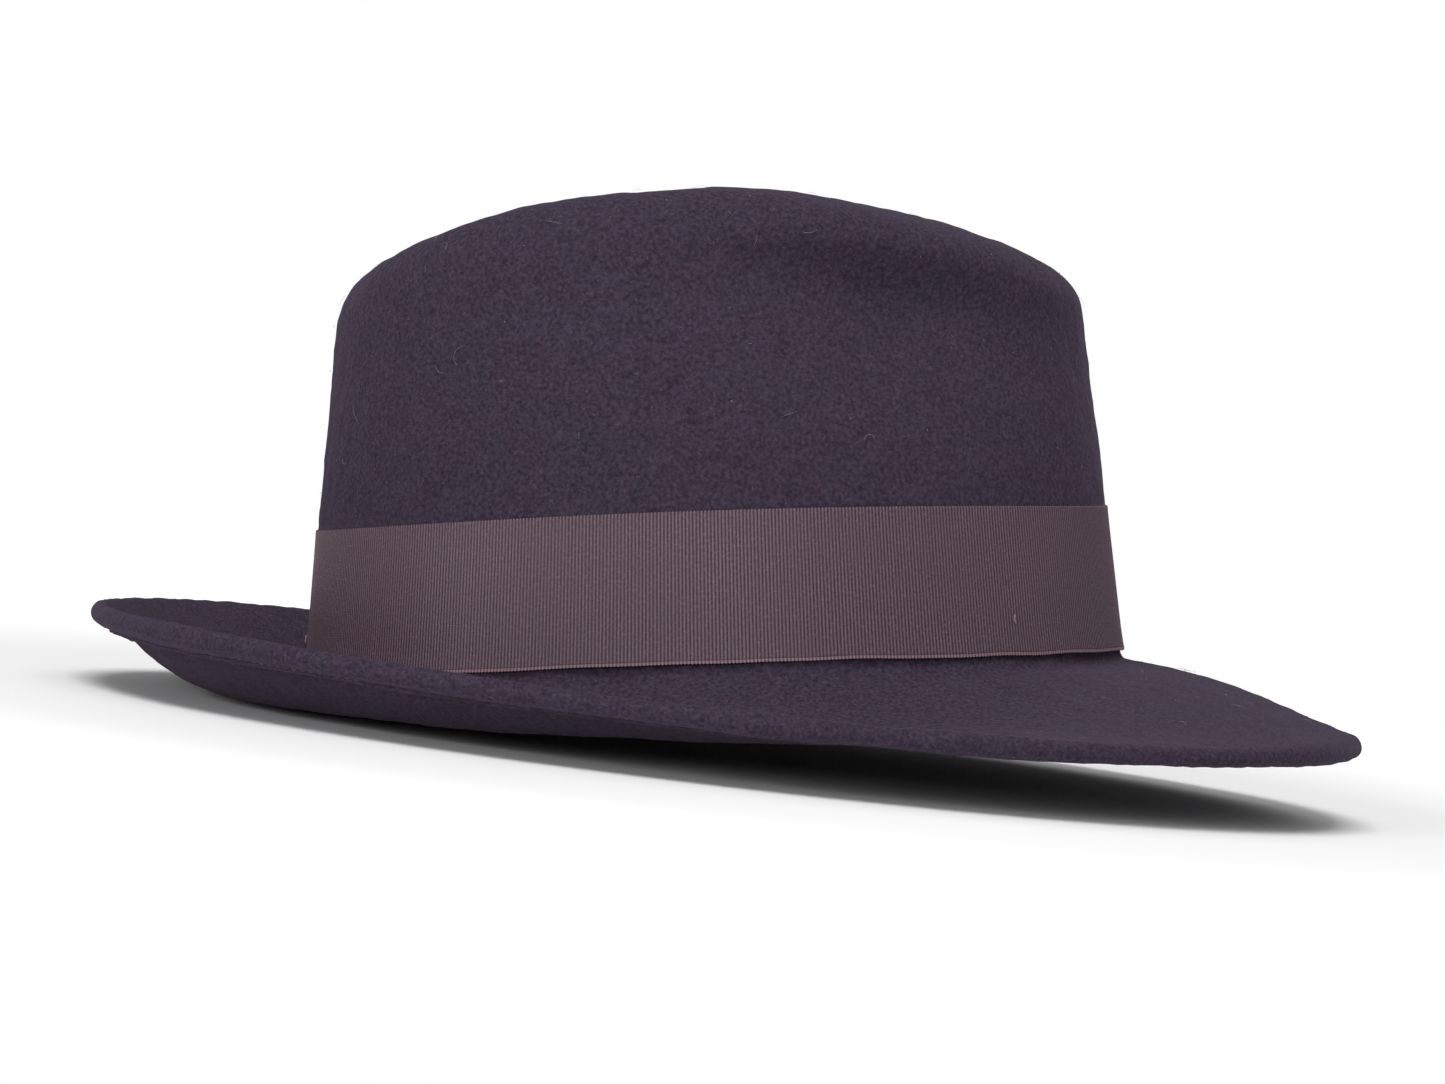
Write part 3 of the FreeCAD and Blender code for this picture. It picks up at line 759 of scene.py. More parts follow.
@dataclass(frozen=True)
class FeltFinish:
    """Wool felt, blocked and brushed.

    A matted nap of dyed wool: no gloss, a pale bloom at grazing angles where fibres stand up, and
    cloudy patches of blue-grey and red-purple where the dye and the nap differ.
    """

    name: str = "wool_felt_blocked_and_brushed"
    dark: str = "#302735"
    light: str = "#392F3E"
    deep: str = "#201924"
    pale: str = "#463B4C"
    cool: str = "#312E3A"
    warm: str = "#3C2833"
    fibre: str = "#5F5465"
    bloom: str = "#A98FB2"
    patch_mm: float = 14.0
    cloud_mm: float = 5.0
    blush_mm: float = 2.6
    tuft_mm: float = 1.0
    fibre_mm: float = 0.6

    def build(self) -> bpy.types.Material:
        """Make the material.

        Returns:
            The material.
        """
        material, tree, shader = new_material(self.name)
        where = add_node(tree, "TexCoord").outputs["Object"]
        patch = noise(tree, where, self.patch_mm, 2.0)
        cloud = noise(tree, where, self.cloud_mm, 3.0)
        tuft = noise(tree, where, self.tuft_mm, 2.0)
        blush = noise(tree, where, self.blush_mm, 2.0)
        fibre = noise(tree, where, self.fibre_mm, 2.0)
        colour = mix(tree, remap(tree, cloud, 0.3, 0.7, 0.2, 0.8), srgb(self.dark), srgb(self.light))
        colour = mix(tree, remap(tree, patch, 0.4, 0.62, 0, 0.5), colour, srgb(self.cool))
        colour = mix(tree, remap(tree, blush, 0.54, 0.74, 0, 0.42), colour, srgb(self.warm))
        colour = mix(tree, remap(tree, tuft, 0.5, 0.3, 0, 0.7), colour, srgb(self.deep))
        colour = mix(tree, remap(tree, tuft, 0.5, 0.7, 0, 0.65), colour, srgb(self.pale))
        colour = mix(tree, remap(tree, fibre, 0.64, 0.78, 0, 0.7), colour, srgb(self.fibre))
        height = add_node(
            tree, "Math", {"operation": "ADD"}, links={0: tuft, 1: remap(tree, fibre, 0, 1, 0, 0.5)}
        ).outputs[0]
        relief = {"Strength": 0.65, "Distance": 0.4 * MM}
        bump = add_node(tree, "Bump", values=relief, links={"Height": height})
        tree.links.new(colour, shader.inputs["Base Color"])
        tree.links.new(bump.outputs["Normal"], shader.inputs["Normal"])
        shader.inputs["Roughness"].default_value = 0.95
        shader.inputs["Specular IOR Level"].default_value = 0.15
        shader.inputs["Sheen Weight"].default_value = 0.12
        shader.inputs["Sheen Roughness"].default_value = 0.45
        shader.inputs["Sheen Tint"].default_value = srgb(self.bloom)
        return material


@dataclass(frozen=True)
class GrosgrainFinish:
    """Grosgrain ribbon, woven with a fine warp over thick weft ribs.

    Rib crests painted pale as a highlight and the grooves between them painted dark as shade, crossed by the
    faint lines of the warp.
    """

    name: str = "grosgrain_ribbon_woven"
    # painted shade: the dark colour of the grooves between ribs, also mixed in for the darker beads, the warp
    # lines and the lower edge
    groove: str = "#2A1E25"
    # painted highlight: the pale colour of the rib crests
    crest_highlight: str = "#755D6B"
    shade: str = "#4D3A44"
    # painted highlight on the brighter beads
    glint: str = "#907585"
    selvedge: str = "#866A72"
    bead_mm: float = 0.75
    warp_mm: float = 0.42
    rib_mm: float = 0.88

    def build(self) -> bpy.types.Material:
        """Make the material, which reads the points' rib height and place on the cloth.

        Returns:
            The material.
        """
        material, tree, shader = new_material(self.name)
        rib = add_node(tree, "Attribute", {"attribute_name": "rib"}).outputs["Fac"]
        cloth = add_node(tree, "Attribute", {"attribute_name": "cloth"}).outputs["Vector"]
        stretch = add_node(tree, "Mapping", values={"Scale": (1.0, 0.06, 1.0)}, links={"Vector": cloth})
        streak = add_node(
            tree,
            "TexNoise",
            values={"Scale": 1 / self.rib_mm, "Detail": 2.0},
            links={"Vector": stretch.outputs["Vector"]},
        ).outputs["Fac"]
        warp = add_node(
            tree,
            "TexWave",
            {"bands_direction": "Y", "wave_profile": "SIN"},
            {"Scale": wave_scale(self.warp_mm), "Distortion": 1.2, "Detail": 2.0, "Detail Scale": 2.0},
            {"Vector": cloth},
        ).outputs["Fac"]
        bead = add_node(
            tree, "TexNoise", values={"Scale": 1 / self.bead_mm, "Detail": 1.0}, links={"Vector": cloth}
        ).outputs["Fac"]
        worn = add_node(
            tree, "TexNoise", values={"Scale": 0.05, "Detail": 2.0}, links={"Vector": cloth}
        ).outputs["Fac"]
        # Painted light and shade by rib height: crests painted pale as a highlight, grooves painted dark as
        # shade.
        colour = mix(tree, remap(tree, rib, 0.1, 0.95, 0, 1), srgb(self.groove), srgb(self.crest_highlight))
        colour = mix(tree, remap(tree, streak, 0.3, 0.7, 0.0, 0.25), colour, srgb(self.shade))
        # Painted shade on the darker beads and a painted highlight on the brighter ones.
        colour = mix(tree, remap(tree, bead, 0.5, 0.25, 0.0, 0.35), colour, srgb(self.groove))
        colour = mix(tree, remap(tree, bead, 0.55, 0.8, 0.0, 0.3), colour, srgb(self.glint))
        colour = mix(tree, remap(tree, warp, 0, 1, 0.0, 0.22), colour, srgb(self.groove))
        colour = mix(tree, remap(tree, worn, 0.35, 0.7, 0.0, 0.2), colour, srgb(self.shade))
        across = add_node(tree, "SeparateXYZ", links={0: cloth}).outputs["Y"]
        # Darker along the lower edge, mixed towards the grooves' painted shade colour.
        colour = mix(tree, remap(tree, across, 1.3, 0.9, 0.0, 0.7), colour, srgb(self.groove))
        edge = add_node(
            tree,
            "Math",
            {"operation": "MULTIPLY"},
            links={0: remap(tree, across, 0.9, 0.7, 0.0, 1.0), 1: remap(tree, rib, 0.1, 0.5, 0.3, 0.95)},
        ).outputs[0]
        colour = mix(tree, edge, colour, srgb(self.selvedge))
        relief = {"Strength": 0.35, "Distance": 0.08 * MM}
        bump = add_node(tree, "Bump", values=relief, links={"Height": warp})
        tree.links.new(colour, shader.inputs["Base Color"])
        tree.links.new(bump.outputs["Normal"], shader.inputs["Normal"])
        shader.inputs["Roughness"].default_value = 0.42
        shader.inputs["Specular IOR Level"].default_value = 0.3
        return material


@dataclass(frozen=True)
class ThreadFinish:
    """Spun sewing thread: two plies that twist, with a soft dull gloss."""

    name: str
    dark: str
    light: str
    twist_mm: float = 0.5

    def build(self) -> bpy.types.Material:
        """Make the material.

        Returns:
            The material.
        """
        material, tree, shader = new_material(self.name)
        where = add_node(tree, "TexCoord").outputs["Object"]
        ply = add_node(
            tree,
            "TexWave",
            {"bands_direction": "DIAGONAL"},
            {"Scale": wave_scale(self.twist_mm * MM), "Distortion": 2.0},
            {"Vector": where},
        ).outputs["Fac"]
        colour = mix(tree, ply, srgb(self.dark), srgb(self.light))
        bump = add_node(tree, "Bump", values={"Strength": 0.5, "Distance": 0.05 * MM}, links={"Height": ply})
        tree.links.new(colour, shader.inputs["Base Color"])
        tree.links.new(bump.outputs["Normal"], shader.inputs["Normal"])
        shader.inputs["Roughness"].default_value = 0.6
        shader.inputs["Sheen Weight"].default_value = 0.2
        return material


@dataclass(frozen=True)
class LeatherFinish:
    """Sheepskin sweatband leather, dyed and glazed: fine pebbled grain with a low satin gloss."""

    name: str = "sheepskin_leather_glazed"
    dark: str = "#2B1D18"
    light: str = "#47322B"
    grain_mm: float = 0.8

    def build(self) -> bpy.types.Material:
        """Make the material.

        Returns:
            The material.
        """
        material, tree, shader = new_material(self.name)
        where = add_node(tree, "TexCoord").outputs["Object"]
        cells = add_node(
            tree,
            "TexVoronoi",
            {"feature": "DISTANCE_TO_EDGE"},
            {"Scale": per_metre(self.grain_mm)},
            {"Vector": where},
        ).outputs["Distance"]
        pebble = remap(tree, cells, 0.0, 0.3, 0, 1)
        cloud = noise(tree, where, 11.0, 3.0)
        colour = mix(tree, remap(tree, cloud, 0.3, 0.7, 0, 1), srgb(self.dark), srgb(self.light))
        colour = mix(tree, remap(tree, pebble, 0, 1, 0.5, 0), colour, srgb(self.dark))
        relief = {"Strength": 0.5, "Distance": 0.12 * MM}
        bump = add_node(tree, "Bump", values=relief, links={"Height": pebble})
        tree.links.new(colour, shader.inputs["Base Color"])
        tree.links.new(bump.outputs["Normal"], shader.inputs["Normal"])
        tree.links.new(remap(tree, cloud, 0.3, 0.7, 0.42, 0.6), shader.inputs["Roughness"])
        return material


@dataclass(frozen=True)
class SatinFinish:
    """Acetate satin lining, woven with long floats: a soft directional gloss over faint threads."""

    name: str = "acetate_satin_woven"
    dark: str = "#4A2F3F"
    light: str = "#6B4759"
    thread_mm: float = 0.5

    def build(self) -> bpy.types.Material:
        """Make the material. The threads are drawn coarser than real ones so that they show.

        Returns:
            The material.
        """
        material, tree, shader = new_material(self.name)
        where = add_node(tree, "TexCoord").outputs["Object"]
        squash = add_node(tree, "Mapping", values={"Scale": (1.0, 1.0, 0.08)}, links={"Vector": where})
        thread = noise(tree, squash.outputs["Vector"], self.thread_mm, 2.0)
        cloud = noise(tree, where, 9.0, 2.0)
        colour = mix(tree, remap(tree, cloud, 0.3, 0.7, 0, 1), srgb(self.dark), srgb(self.light))
        colour = mix(tree, remap(tree, thread, 0.35, 0.65, 0, 0.3), colour, srgb(self.dark))
        relief = {"Strength": 0.25, "Distance": 0.05 * MM}
        bump = add_node(tree, "Bump", values=relief, links={"Height": thread})
        tree.links.new(colour, shader.inputs["Base Color"])
        tree.links.new(bump.outputs["Normal"], shader.inputs["Normal"])
        shader.inputs["Roughness"].default_value = 0.34
        shader.inputs["Anisotropic"].default_value = 0.5
        shader.inputs["Sheen Weight"].default_value = 0.25
        return material


@dataclass(frozen=True)
class PlainClothFinish:
    """A plain-woven tape or label cloth: matte, with an even grid of fine threads."""

    name: str
    dark: str
    light: str
    thread_mm: float = 0.45

    def build(self) -> bpy.types.Material:
        """Make the material. The threads are drawn coarser than real ones so that they show.

        Returns:
            The material.
        """
        material, tree, shader = new_material(self.name)
        where = add_node(tree, "TexCoord").outputs["Object"]
        scale = wave_scale(self.thread_mm * MM)
        warp, weft = (
            add_node(
                tree,
                "TexWave",
                {"bands_direction": direction},
                {"Scale": scale, "Distortion": 0.6},
                {"Vector": where},
            ).outputs["Fac"]
            for direction in ("Y", "Z")
        )
        weave = add_node(tree, "Math", {"operation": "MULTIPLY"}, links={0: warp, 1: weft}).outputs[0]
        colour = mix(tree, weave, srgb(self.dark), srgb(self.light))
        relief = {"Strength": 0.5, "Distance": 0.08 * MM}
        bump = add_node(tree, "Bump", values=relief, links={"Height": weave})
        tree.links.new(colour, shader.inputs["Base Color"])
        tree.links.new(bump.outputs["Normal"], shader.inputs["Normal"])
        shader.inputs["Roughness"].default_value = 0.85
        return material


@dataclass(frozen=True)
class FloorFinish:
    """Matte studio paper, pale and smooth, with the faintest mottling.

    Away from the object it glows with painted light, stronger further out, so the two run into each other.
    """

    name: str = "studio_paper_matte"
    pale: str = "#F7F7F7"
    paler: str = "#FAFAFA"
    near_mm: float = 210.0
    far_mm: float = 420.0
    glow: float = 0.35

    def build(self) -> bpy.types.Material:
        """Make the material.

        Returns:
            The material.
        """
        material, tree, shader = new_material(self.name)
        where = add_node(tree, "TexCoord").outputs["Object"]
        colour = mix(tree, noise(tree, where, 120.0), srgb(self.pale), srgb(self.paler))
        reach = add_node(tree, "VectorMath", {"operation": "LENGTH"}, links={0: where}).outputs["Value"]
        # Painted light: the floor's own emission, rising with distance from the middle.
        glow = remap(tree, reach, self.near_mm * MM, self.far_mm * MM, 0.0, self.glow)
        tree.links.new(glow, shader.inputs["Emission Strength"])
        shader.inputs["Emission Color"].default_value = srgb(self.pale)
        tree.links.new(colour, shader.inputs["Base Color"])
        shader.inputs["Roughness"].default_value = 0.9
        return material


# --- Felt body -------------------------------------------------------------------------------------


@dataclass
class FeltBody:
    """Crown and brim in one felt, with its edge folded under, stitched and cut off."""

    columns: int = 380
    blocking: Unevenness = Unevenness(seed=3, wavelength=48.0, depth=0.30)
    handling: Unevenness = Unevenness(seed=8, wavelength=13.0, depth=0.12)
    nap: Unevenness = Unevenness(seed=5, wavelength=5.0, depth=0.1)
    cut_wander: Unevenness = Unevenness(seed=11, wavelength=24.0, depth=0.8)
    groove_place: float = 0.034
    groove_width: float = 0.014
    groove_depth: float = 0.9

    def stations(self) -> dict[str, np.ndarray]:
        """The rows of the felt's two faces, from the crown's top to the brim's edge.

        Returns:
            Station numbers for the upper and the lower face.
        """
        return {
            "upper": np.concatenate(
                [
                    np.linspace(0.03, 1, 38),
                    np.linspace(1, 2, 20)[1:],
                    np.linspace(2, 3, 54)[1:],
                    np.linspace(3, 4, 7)[1:],
                    np.linspace(4, 5, 40)[1:],
                ]
            ),
            "lower": np.concatenate(
                [
                    np.linspace(0.1, 1, 9),
                    np.linspace(1, 2, 6)[1:],
                    np.linspace(2, 3, 12)[1:],
                    np.linspace(3, 4, 5)[1:],
                    np.linspace(4, 4.88, 34)[1:],
                ]
            ),
        }

    def welt_depth(self, shape: HatShape, station: float) -> float:
        """Depth of the folded layer's underside, with the groove that its stitches pull in.

        Args:
            shape: the hat's shape.
            station: place on the way from the crown's top to the brim's edge.

        Returns:
            The depth below the upper face, in millimetres.
        """
        share = (station - shape.welt_station) / (5 - shape.welt_station)
        even = shape.welt_thickness + (2 * shape.edge_radius - shape.welt_thickness) * share
        from_groove = (station - shape.welt_station - self.groove_place) / self.groove_width
        return even - self.groove_depth * math.exp(-(from_groove**2))

    def rows(self, shape: HatShape, angle: np.ndarray) -> np.ndarray:
        """All rings of the felt, over the top, round the edge and back inside.

        Args:
            shape: the hat's shape.
            angle: angles of the columns.

        Returns:
            Points as rows, columns and coordinates.
        """
        stations = self.stations()
        rings = [shape.face(angle, station) for station in stations["upper"]]
        normal, along = shape.axes(angle, 5.0)
        edge = rings[-1]
        for turn in np.linspace(0, math.pi, 12)[1:]:
            rings.append(edge + (normal * (math.cos(turn) - 1) + along * math.sin(turn)) * shape.edge_radius)
        for station in np.linspace(5, shape.welt_station + 0.004, 24)[1:]:
            rings.append(shape.below(angle, station, self.welt_depth(shape, station)))
        end = shape.welt_station
        wander = self.cut_wander.at(edge)
        for back, depth in ((0.0, 4.3), (0.003, 4.0), (0.003, 3.2), (0.0, 2.5)):
            station = end - back
            here, _ = shape.axes(angle, station)
            slide = shape.face(angle, station + 0.01) - shape.face(angle, station)
            rings.append(shape.below(angle, station, depth) + slide * column(wander))
        for station in stations["lower"][::-1]:
            rings.append(shape.below(angle, station, shape.felt_thickness))
        return np.stack(rings)

    def surface(self, shape: HatShape) -> np.ndarray:
        """All rings of the felt, with the unevenness that blocking and handling leave.

        Args:
            shape: the hat's shape.

        Returns:
            Points as rows, columns and coordinates.
        """
        grid = self.rows(shape, np.arange(self.columns) * math.tau / self.columns)
        across = np.roll(grid, -1, 1) - np.roll(grid, 1, 1)
        normals = unit(np.cross(np.gradient(grid, axis=0), across))
        swell = self.blocking.at(grid) + self.handling.at(grid) + self.nap.at(grid)
        return grid + normals * column(swell)

    def build(self, shop: Workshop, grid: np.ndarray, finish: bpy.types.Material) -> bpy.types.Object:
        """Make the felt.

        Args:
            shop: the workshop.
            grid: the felt's rings.
            finish: wool felt.

        Returns:
            The finished piece.
        """
        shape, count = shop.shape, grid.shape[0] * self.columns
        floors = [shape.dent_floor, shape.dent_floor - shape.felt_thickness]
        poles = points([shape.dent_middle] * 2, 0, floors)
        faces = grid_faces(grid.shape[0], self.columns, True).tolist()
        faces += pole_faces(count, list(range(self.columns)))
        faces += pole_faces(count + 1, list(range(count - self.columns, count)))
        made = shop.piece("felt", np.concatenate([grid.reshape(-1, 3), poles]), faces, finish)
        return settle(made, "wool_felt", *FELT_NODES)


@dataclass
class WeltStitching:
    """The fine row of stitches in the groove under the brim."""

    pitch: float = 2.6
    length: float = 1.9
    radius: float = 0.16
    lift: float = 0.22
    station: float = 4.924
    depth: float = 3.85

    def build(self, shop: Workshop, finish: bpy.types.Material) -> bpy.types.Object:
        """Make the stitches.

        Args:
            shop: the hat's shape, the way round its crown and its rest pose.
            finish: the piece's material.

        Returns:
            The finished piece.
        """
        fine = np.linspace(0, math.tau, 3601)
        way = shop.shape.below(fine, self.station, self.depth)
        run = np.concatenate([[0], np.cumsum(np.linalg.norm(np.diff(way, axis=0), axis=1))])
        count = int(run[-1] / self.pitch)
        angle = np.interp(np.arange(count) * run[-1] / count, run, fine)
        line = shop.shape.below(angle, self.station, self.depth)
        outward = -shop.shape.axes(angle, self.station)[0]
        at, faces = stitches(line, outward, self.length, self.radius, self.lift)
        return settle(shop.piece("welt_stitches", at, faces, finish), "sewing_thread", "welt_stitching")


# --- Ribbon and bow --------------------------------------------------------------------------------


@dataclass(frozen=True)
class Grosgrain:
    """How a grosgrain ribbon is woven, and how a strip of it is drawn."""

    rib_pitch: float = 0.88
    rib_height: float = 0.07
    thickness: float = 0.5
    samples: int = 6
    selvedge: float = 0.09

    def strip(
        self,
        shop: Workshop,
        name: str,
        length: float,
        width: float,
        place: Callable[[np.ndarray, np.ndarray, np.ndarray], np.ndarray],
        finish: bpy.types.Material,
        closed: bool = False,
    ) -> bpy.types.Object:
        """Weave one strip of ribbon.

        Args:
            shop: the workshop.
            name: the piece's name.
            length: the strip's length.
            width: the ribbon's width.
            place: gives points from the way along, the way across and the lift off the ribbon's middle.
            finish: the ribbon's material.
            closed: whether the strip's ends meet.

        Returns:
            The new piece.
        """
        ribs = round(length / self.rib_pitch)
        columns = ribs * self.samples + (0 if closed else 1)
        along = np.arange(columns) * length / (ribs * self.samples)
        wave = np.cos(np.arange(columns) * math.tau / self.samples)
        half = self.thickness / 2
        near_edge, far_edge = [0.0, 0.15, 0.5, 1.0], [width - 0.5, width - 0.15, width]
        front = np.concatenate([near_edge, np.linspace(1.7, width - 1.5, 9), far_edge])
        rows, ribbing, cloth = [], [], []
        for face, levels in ((1, front), (-1, front[::-1][1:-1:3])):
            for level in levels:
                rim = min(level, width - level)
                round_off = min(1.0, 0.35 + rim / 0.4)
                ply = np.where(level < width / 2, -1.0, 1.0)
                across = level + ply * self.selvedge * wave * (1 - min(rim / 0.5, 1))
                lift = face * (half * round_off + self.rib_height * (wave - 1) * (0.5 if rim < 0.1 else 1.0))
                rows.append(place(along, across, lift))
                ribbing.append((wave + 1) / 2)
                cloth.append(points(along, level, 0.0))
        at = np.stack(rows)
        faces = grid_faces(len(rows), columns, closed, True).tolist()
        if not closed:
            starts = [index * columns for index in range(len(rows))]
            faces += [starts, [start + columns - 1 for start in starts]]
        values = {"rib": np.concatenate(ribbing), "cloth": np.concatenate(cloth)}
        return shop.piece(name, at.reshape(-1, 3), faces, finish, values)


@dataclass
class Hatband:
    """The ribbon round the foot of the crown, with its tack stitches."""

    low: float = 2.65
    high: float = 39.4
    middle: float = 0.42
    free_low: float = 0.35
    free_low_reach: float = 2.0
    free_high: float = 0.12
    free_high_reach: float = 1.5
    weave: Grosgrain = Grosgrain()
    edge_wander: Unevenness = Unevenness(seed=21, wavelength=26.0, depth=0.22)
    tack_angles: tuple[float, ...] = (-44.5, -175.0, 44.5, 175.0)
    tack_height: float = 11.6
    tack_half_length: float = 1.25
    tack_bend: float = 0.006
    tack_lift: float = 0.34
    tack_bulge: float = 0.28
    tack_radius: float = 0.24

    def ribbon(self, shop: Workshop, finish: bpy.types.Material) -> bpy.types.Object:
        """Make the ribbon.

        Args:
            shop: the hat's shape, the way round its crown and its rest pose.
            finish: the piece's material.

        Returns:
            The finished piece.
        """
        width = self.high - self.low

        def place(along: np.ndarray, across: np.ndarray, lift: np.ndarray) -> np.ndarray:
            """Lay the ribbon on the wall, its lower edge a little free of the felt.

            Args:
                along: way along the strip, in millimetres.
                across: way across the strip, in millimetres.
                lift: distance off the ribbon's middle, in millimetres.

            Returns:
                Points in the hat's frame.
            """
            angle = shop.girth.angle_at(along)
            on_felt = shop.shape.on_wall(angle, 20.0, 0.0)
            wander = self.edge_wander.at(on_felt)
            height = self.low + across + wander * (1 - across / width)
            free_low = self.free_low * np.exp(-across / self.free_low_reach)
            free_high = self.free_high * np.exp((across - width) / self.free_high_reach)
            return shop.shape.on_wall(angle, height, self.middle + free_low + free_high + lift)

        made = self.weave.strip(shop, "ribbon", shop.girth.total, width, place, finish, closed=True)
        return settle(made, "grosgrain_ribbon", "hatband")

    def tacks(self, shop: Workshop, finish: bpy.types.Material) -> bpy.types.Object:
        """Make the small loops of thread that hold the ribbon down.

        Args:
            shop: the hat's shape, the way round its crown and its rest pose.
            finish: the piece's material.

        Returns:
            The finished piece.
        """
        parts = []
        for number, degrees in enumerate(self.tack_angles):
            share = np.linspace(-1, 1, 13)
            angle = np.radians(degrees) + self.tack_bend * share**2 * (-1) ** number
            height = self.tack_height + self.tack_half_length * share
            out = self.middle + self.tack_lift + self.tack_bulge * (1 - share**4)
            line = shop.shape.on_wall(angle, height, out)
            away = unit(line - shop.shape.on_wall(angle, height, 0.0))
            ahead = unit(np.gradient(line, axis=0))
            radius = self.tack_radius * np.sqrt(np.clip(1.04 - share**8, 0.05, 1))
            parts.append(tube(line, away, np.cross(away, ahead), radius, 8, False))
        made = shop.piece("ribbon_tacks", *join(parts), finish)
        return settle(made, "sewing_thread", "hatband_tacks")


@dataclass
class Bow:
    """The flat bow on the wearer's left: cut ends behind, two loops, and a keeper round the middle."""

    low: float = 2.65
    width: float = 36.75
    base: float = 1.1
    tail_reach: float = 40.0
    tail_slant: float = 7.0
    loop_reach: float = 30.5
    loop_swell: float = 1.5
    loop_gap: float = 0.75
    fold_radius: float = 0.5
    fold_start: float = 0.6
    loop_pinch: float = 0.05
    keeper_half: float = 7.0
    keeper_tuck: float = 3.0
    keeper_gather: float = 0.1
    gather_reach: float = 9.0
    weave: Grosgrain = Grosgrain()

    def on_side(self, shop: Workshop, u: np.ndarray, height: Any, out: Any) -> np.ndarray:
        """Points at a distance along the crown from the bow's middle, towards the back."""
        return shop.shape.on_wall(shop.girth.angle_at(shop.girth.length_at(LEFT) + u), height, out)

    def tails(self, shop: Workshop, finish: bpy.types.Material) -> bpy.types.Object:
        """Make the ribbon's ends, cut on the slant.

        Args:
            shop: the hat's shape, the way round its crown and its rest pose.
            finish: the piece's material.

        Returns:
            The finished piece.
        """
        length = 2 * self.tail_reach

        def place(along: np.ndarray, across: np.ndarray, lift: np.ndarray) -> np.ndarray:
            """Lay the strip flat on the ribbon, with both ends slanting.

            Args:
                along: way along the strip, in millimetres.
                across: way across the strip, in millimetres.
                lift: distance off the ribbon's middle, in millimetres.

            Returns:
                Points in the hat's frame.
            """
            share = along / length
            slant = self.tail_slant * (np.asarray(across) / self.width - 0.5)
            u = (share - 0.5) * (length - 2 * slant)
            curl = 0.25 * np.clip(np.abs(share - 0.5) * 2 - 0.8, 0, 1) * 5
            return self.on_side(shop, u, self.low + across, self.base + curl + lift)

        made = self.weave.strip(shop, "bow_tail_ends", length, self.width, place, finish)
        return settle(made, "grosgrain_ribbon", "bow_tails")

    def loop_path(self) -> tuple[np.ndarray, np.ndarray, np.ndarray]:
        """The folded ribbon's line seen from above: length run, way along the hat and way out.

        Returns:
            The run, the way along and the way out, point by point.
        """
        reach, back = self.loop_reach, self.base + self.loop_gap
        fold, bend = self.fold_radius, reach - self.fold_start
        turns = np.linspace(0, math.pi, 13)
        inner = np.linspace(0, bend, 24)
        outer = np.linspace(bend, -bend, 90)
        end = np.linspace(-bend, 0, 24)
        u = np.concatenate([inner, bend + fold * np.sin(turns[1:-1]), outer])
        swell = 2 * fold + self.loop_swell * np.sin(np.clip(np.abs(outer) / reach, 0, 1) * math.pi) ** 0.8
        w = np.concatenate([0 * inner, fold - fold * np.cos(turns[1:-1]), swell])
        u = np.concatenate([u, -bend - fold * np.sin(turns[1:-1]), end])
        w = np.concatenate([w, fold + fold * np.cos(turns[1:-1]), 0 * end])
        run = np.concatenate([[0], np.cumsum(np.hypot(np.diff(u), np.diff(w)))])
        return run, u, w + back

    def loops(self, shop: Workshop, finish: bpy.types.Material) -> bpy.types.Object:
        """Make the flat double loop.

        Args:
            shop: the hat's shape, the way round its crown and its rest pose.
            finish: the piece's material.

        Returns:
            The finished piece.
        """
        run, way, out = self.loop_path()
        length = float(run[-1])
        slope_u, slope_w = np.gradient(way, run), np.gradient(out, run)

        def place(along: np.ndarray, across: np.ndarray, lift: np.ndarray) -> np.ndarray:
            """Follow the folded line, with the ribbon's lift turned to its outer side.

            Args:
                along: way along the strip, in millimetres.
                across: way across the strip, in millimetres.
                lift: distance off the ribbon's middle, in millimetres.

            Returns:
                Points in the hat's frame.
            """
            here = np.clip(along, 0, length)
            u, w = np.interp(here, run, way), np.interp(here, run, out)
            du, dw = np.interp(here, run, slope_u), np.interp(here, run, slope_w)
            size = np.hypot(du, dw)
            pinch = 1 - self.loop_pinch * np.exp(-((u / self.gather_reach) ** 2))
            height = self.low + self.width / 2 + (across - self.width / 2) * pinch
            return self.on_side(shop, u + lift * dw / size, height, w - lift * du / size)

        made = self.weave.strip(shop, "bow_flat_loops", length - 0.2, self.width, place, finish)
        return settle(made, "grosgrain_ribbon", "bow_loops")

    def keeper(self, shop: Workshop, finish: bpy.types.Material) -> bpy.types.Object:
        """Make the narrow ribbon wrapped upright round the middle.

        Args:
            shop: the hat's shape, the way round its crown and its rest pose.
            finish: the piece's material.

        Returns:
            The finished piece.
        """
        under, over = [self.keeper_tuck, 0.3, -0.7, -0.5, 1.5], [10.0, 18.4, 26.8]
        heights = np.array(under + over + [35.2, 37.3, 37.5, 36.5, 33.8]) + self.low
        outs = np.array([0.2, 0.2, 0.8, 1.9, 2.5, 2.9, 3.0, 2.9, 2.5, 1.9, 0.8, 0.2, 0.2]) + self.base
        run = np.concatenate([[0], np.cumsum(np.hypot(np.diff(heights), np.diff(outs)))])
        fine = np.linspace(0, run[-1], 200)
        smooth = np.exp(-((np.arange(-9, 10) / 4.0) ** 2))
        smooth /= smooth.sum()
        padded_h = np.pad(np.interp(fine, run, heights), 9, mode="edge")
        padded_o = np.pad(np.interp(fine, run, outs), 9, mode="edge")
        line_h, line_o = np.convolve(padded_h, smooth, "valid"), np.convolve(padded_o, smooth, "valid")
        run = np.concatenate([[0], np.cumsum(np.hypot(np.diff(line_h), np.diff(line_o)))])
        length = float(run[-1])
        slope_h, slope_o = np.gradient(line_h, run), np.gradient(line_o, run)

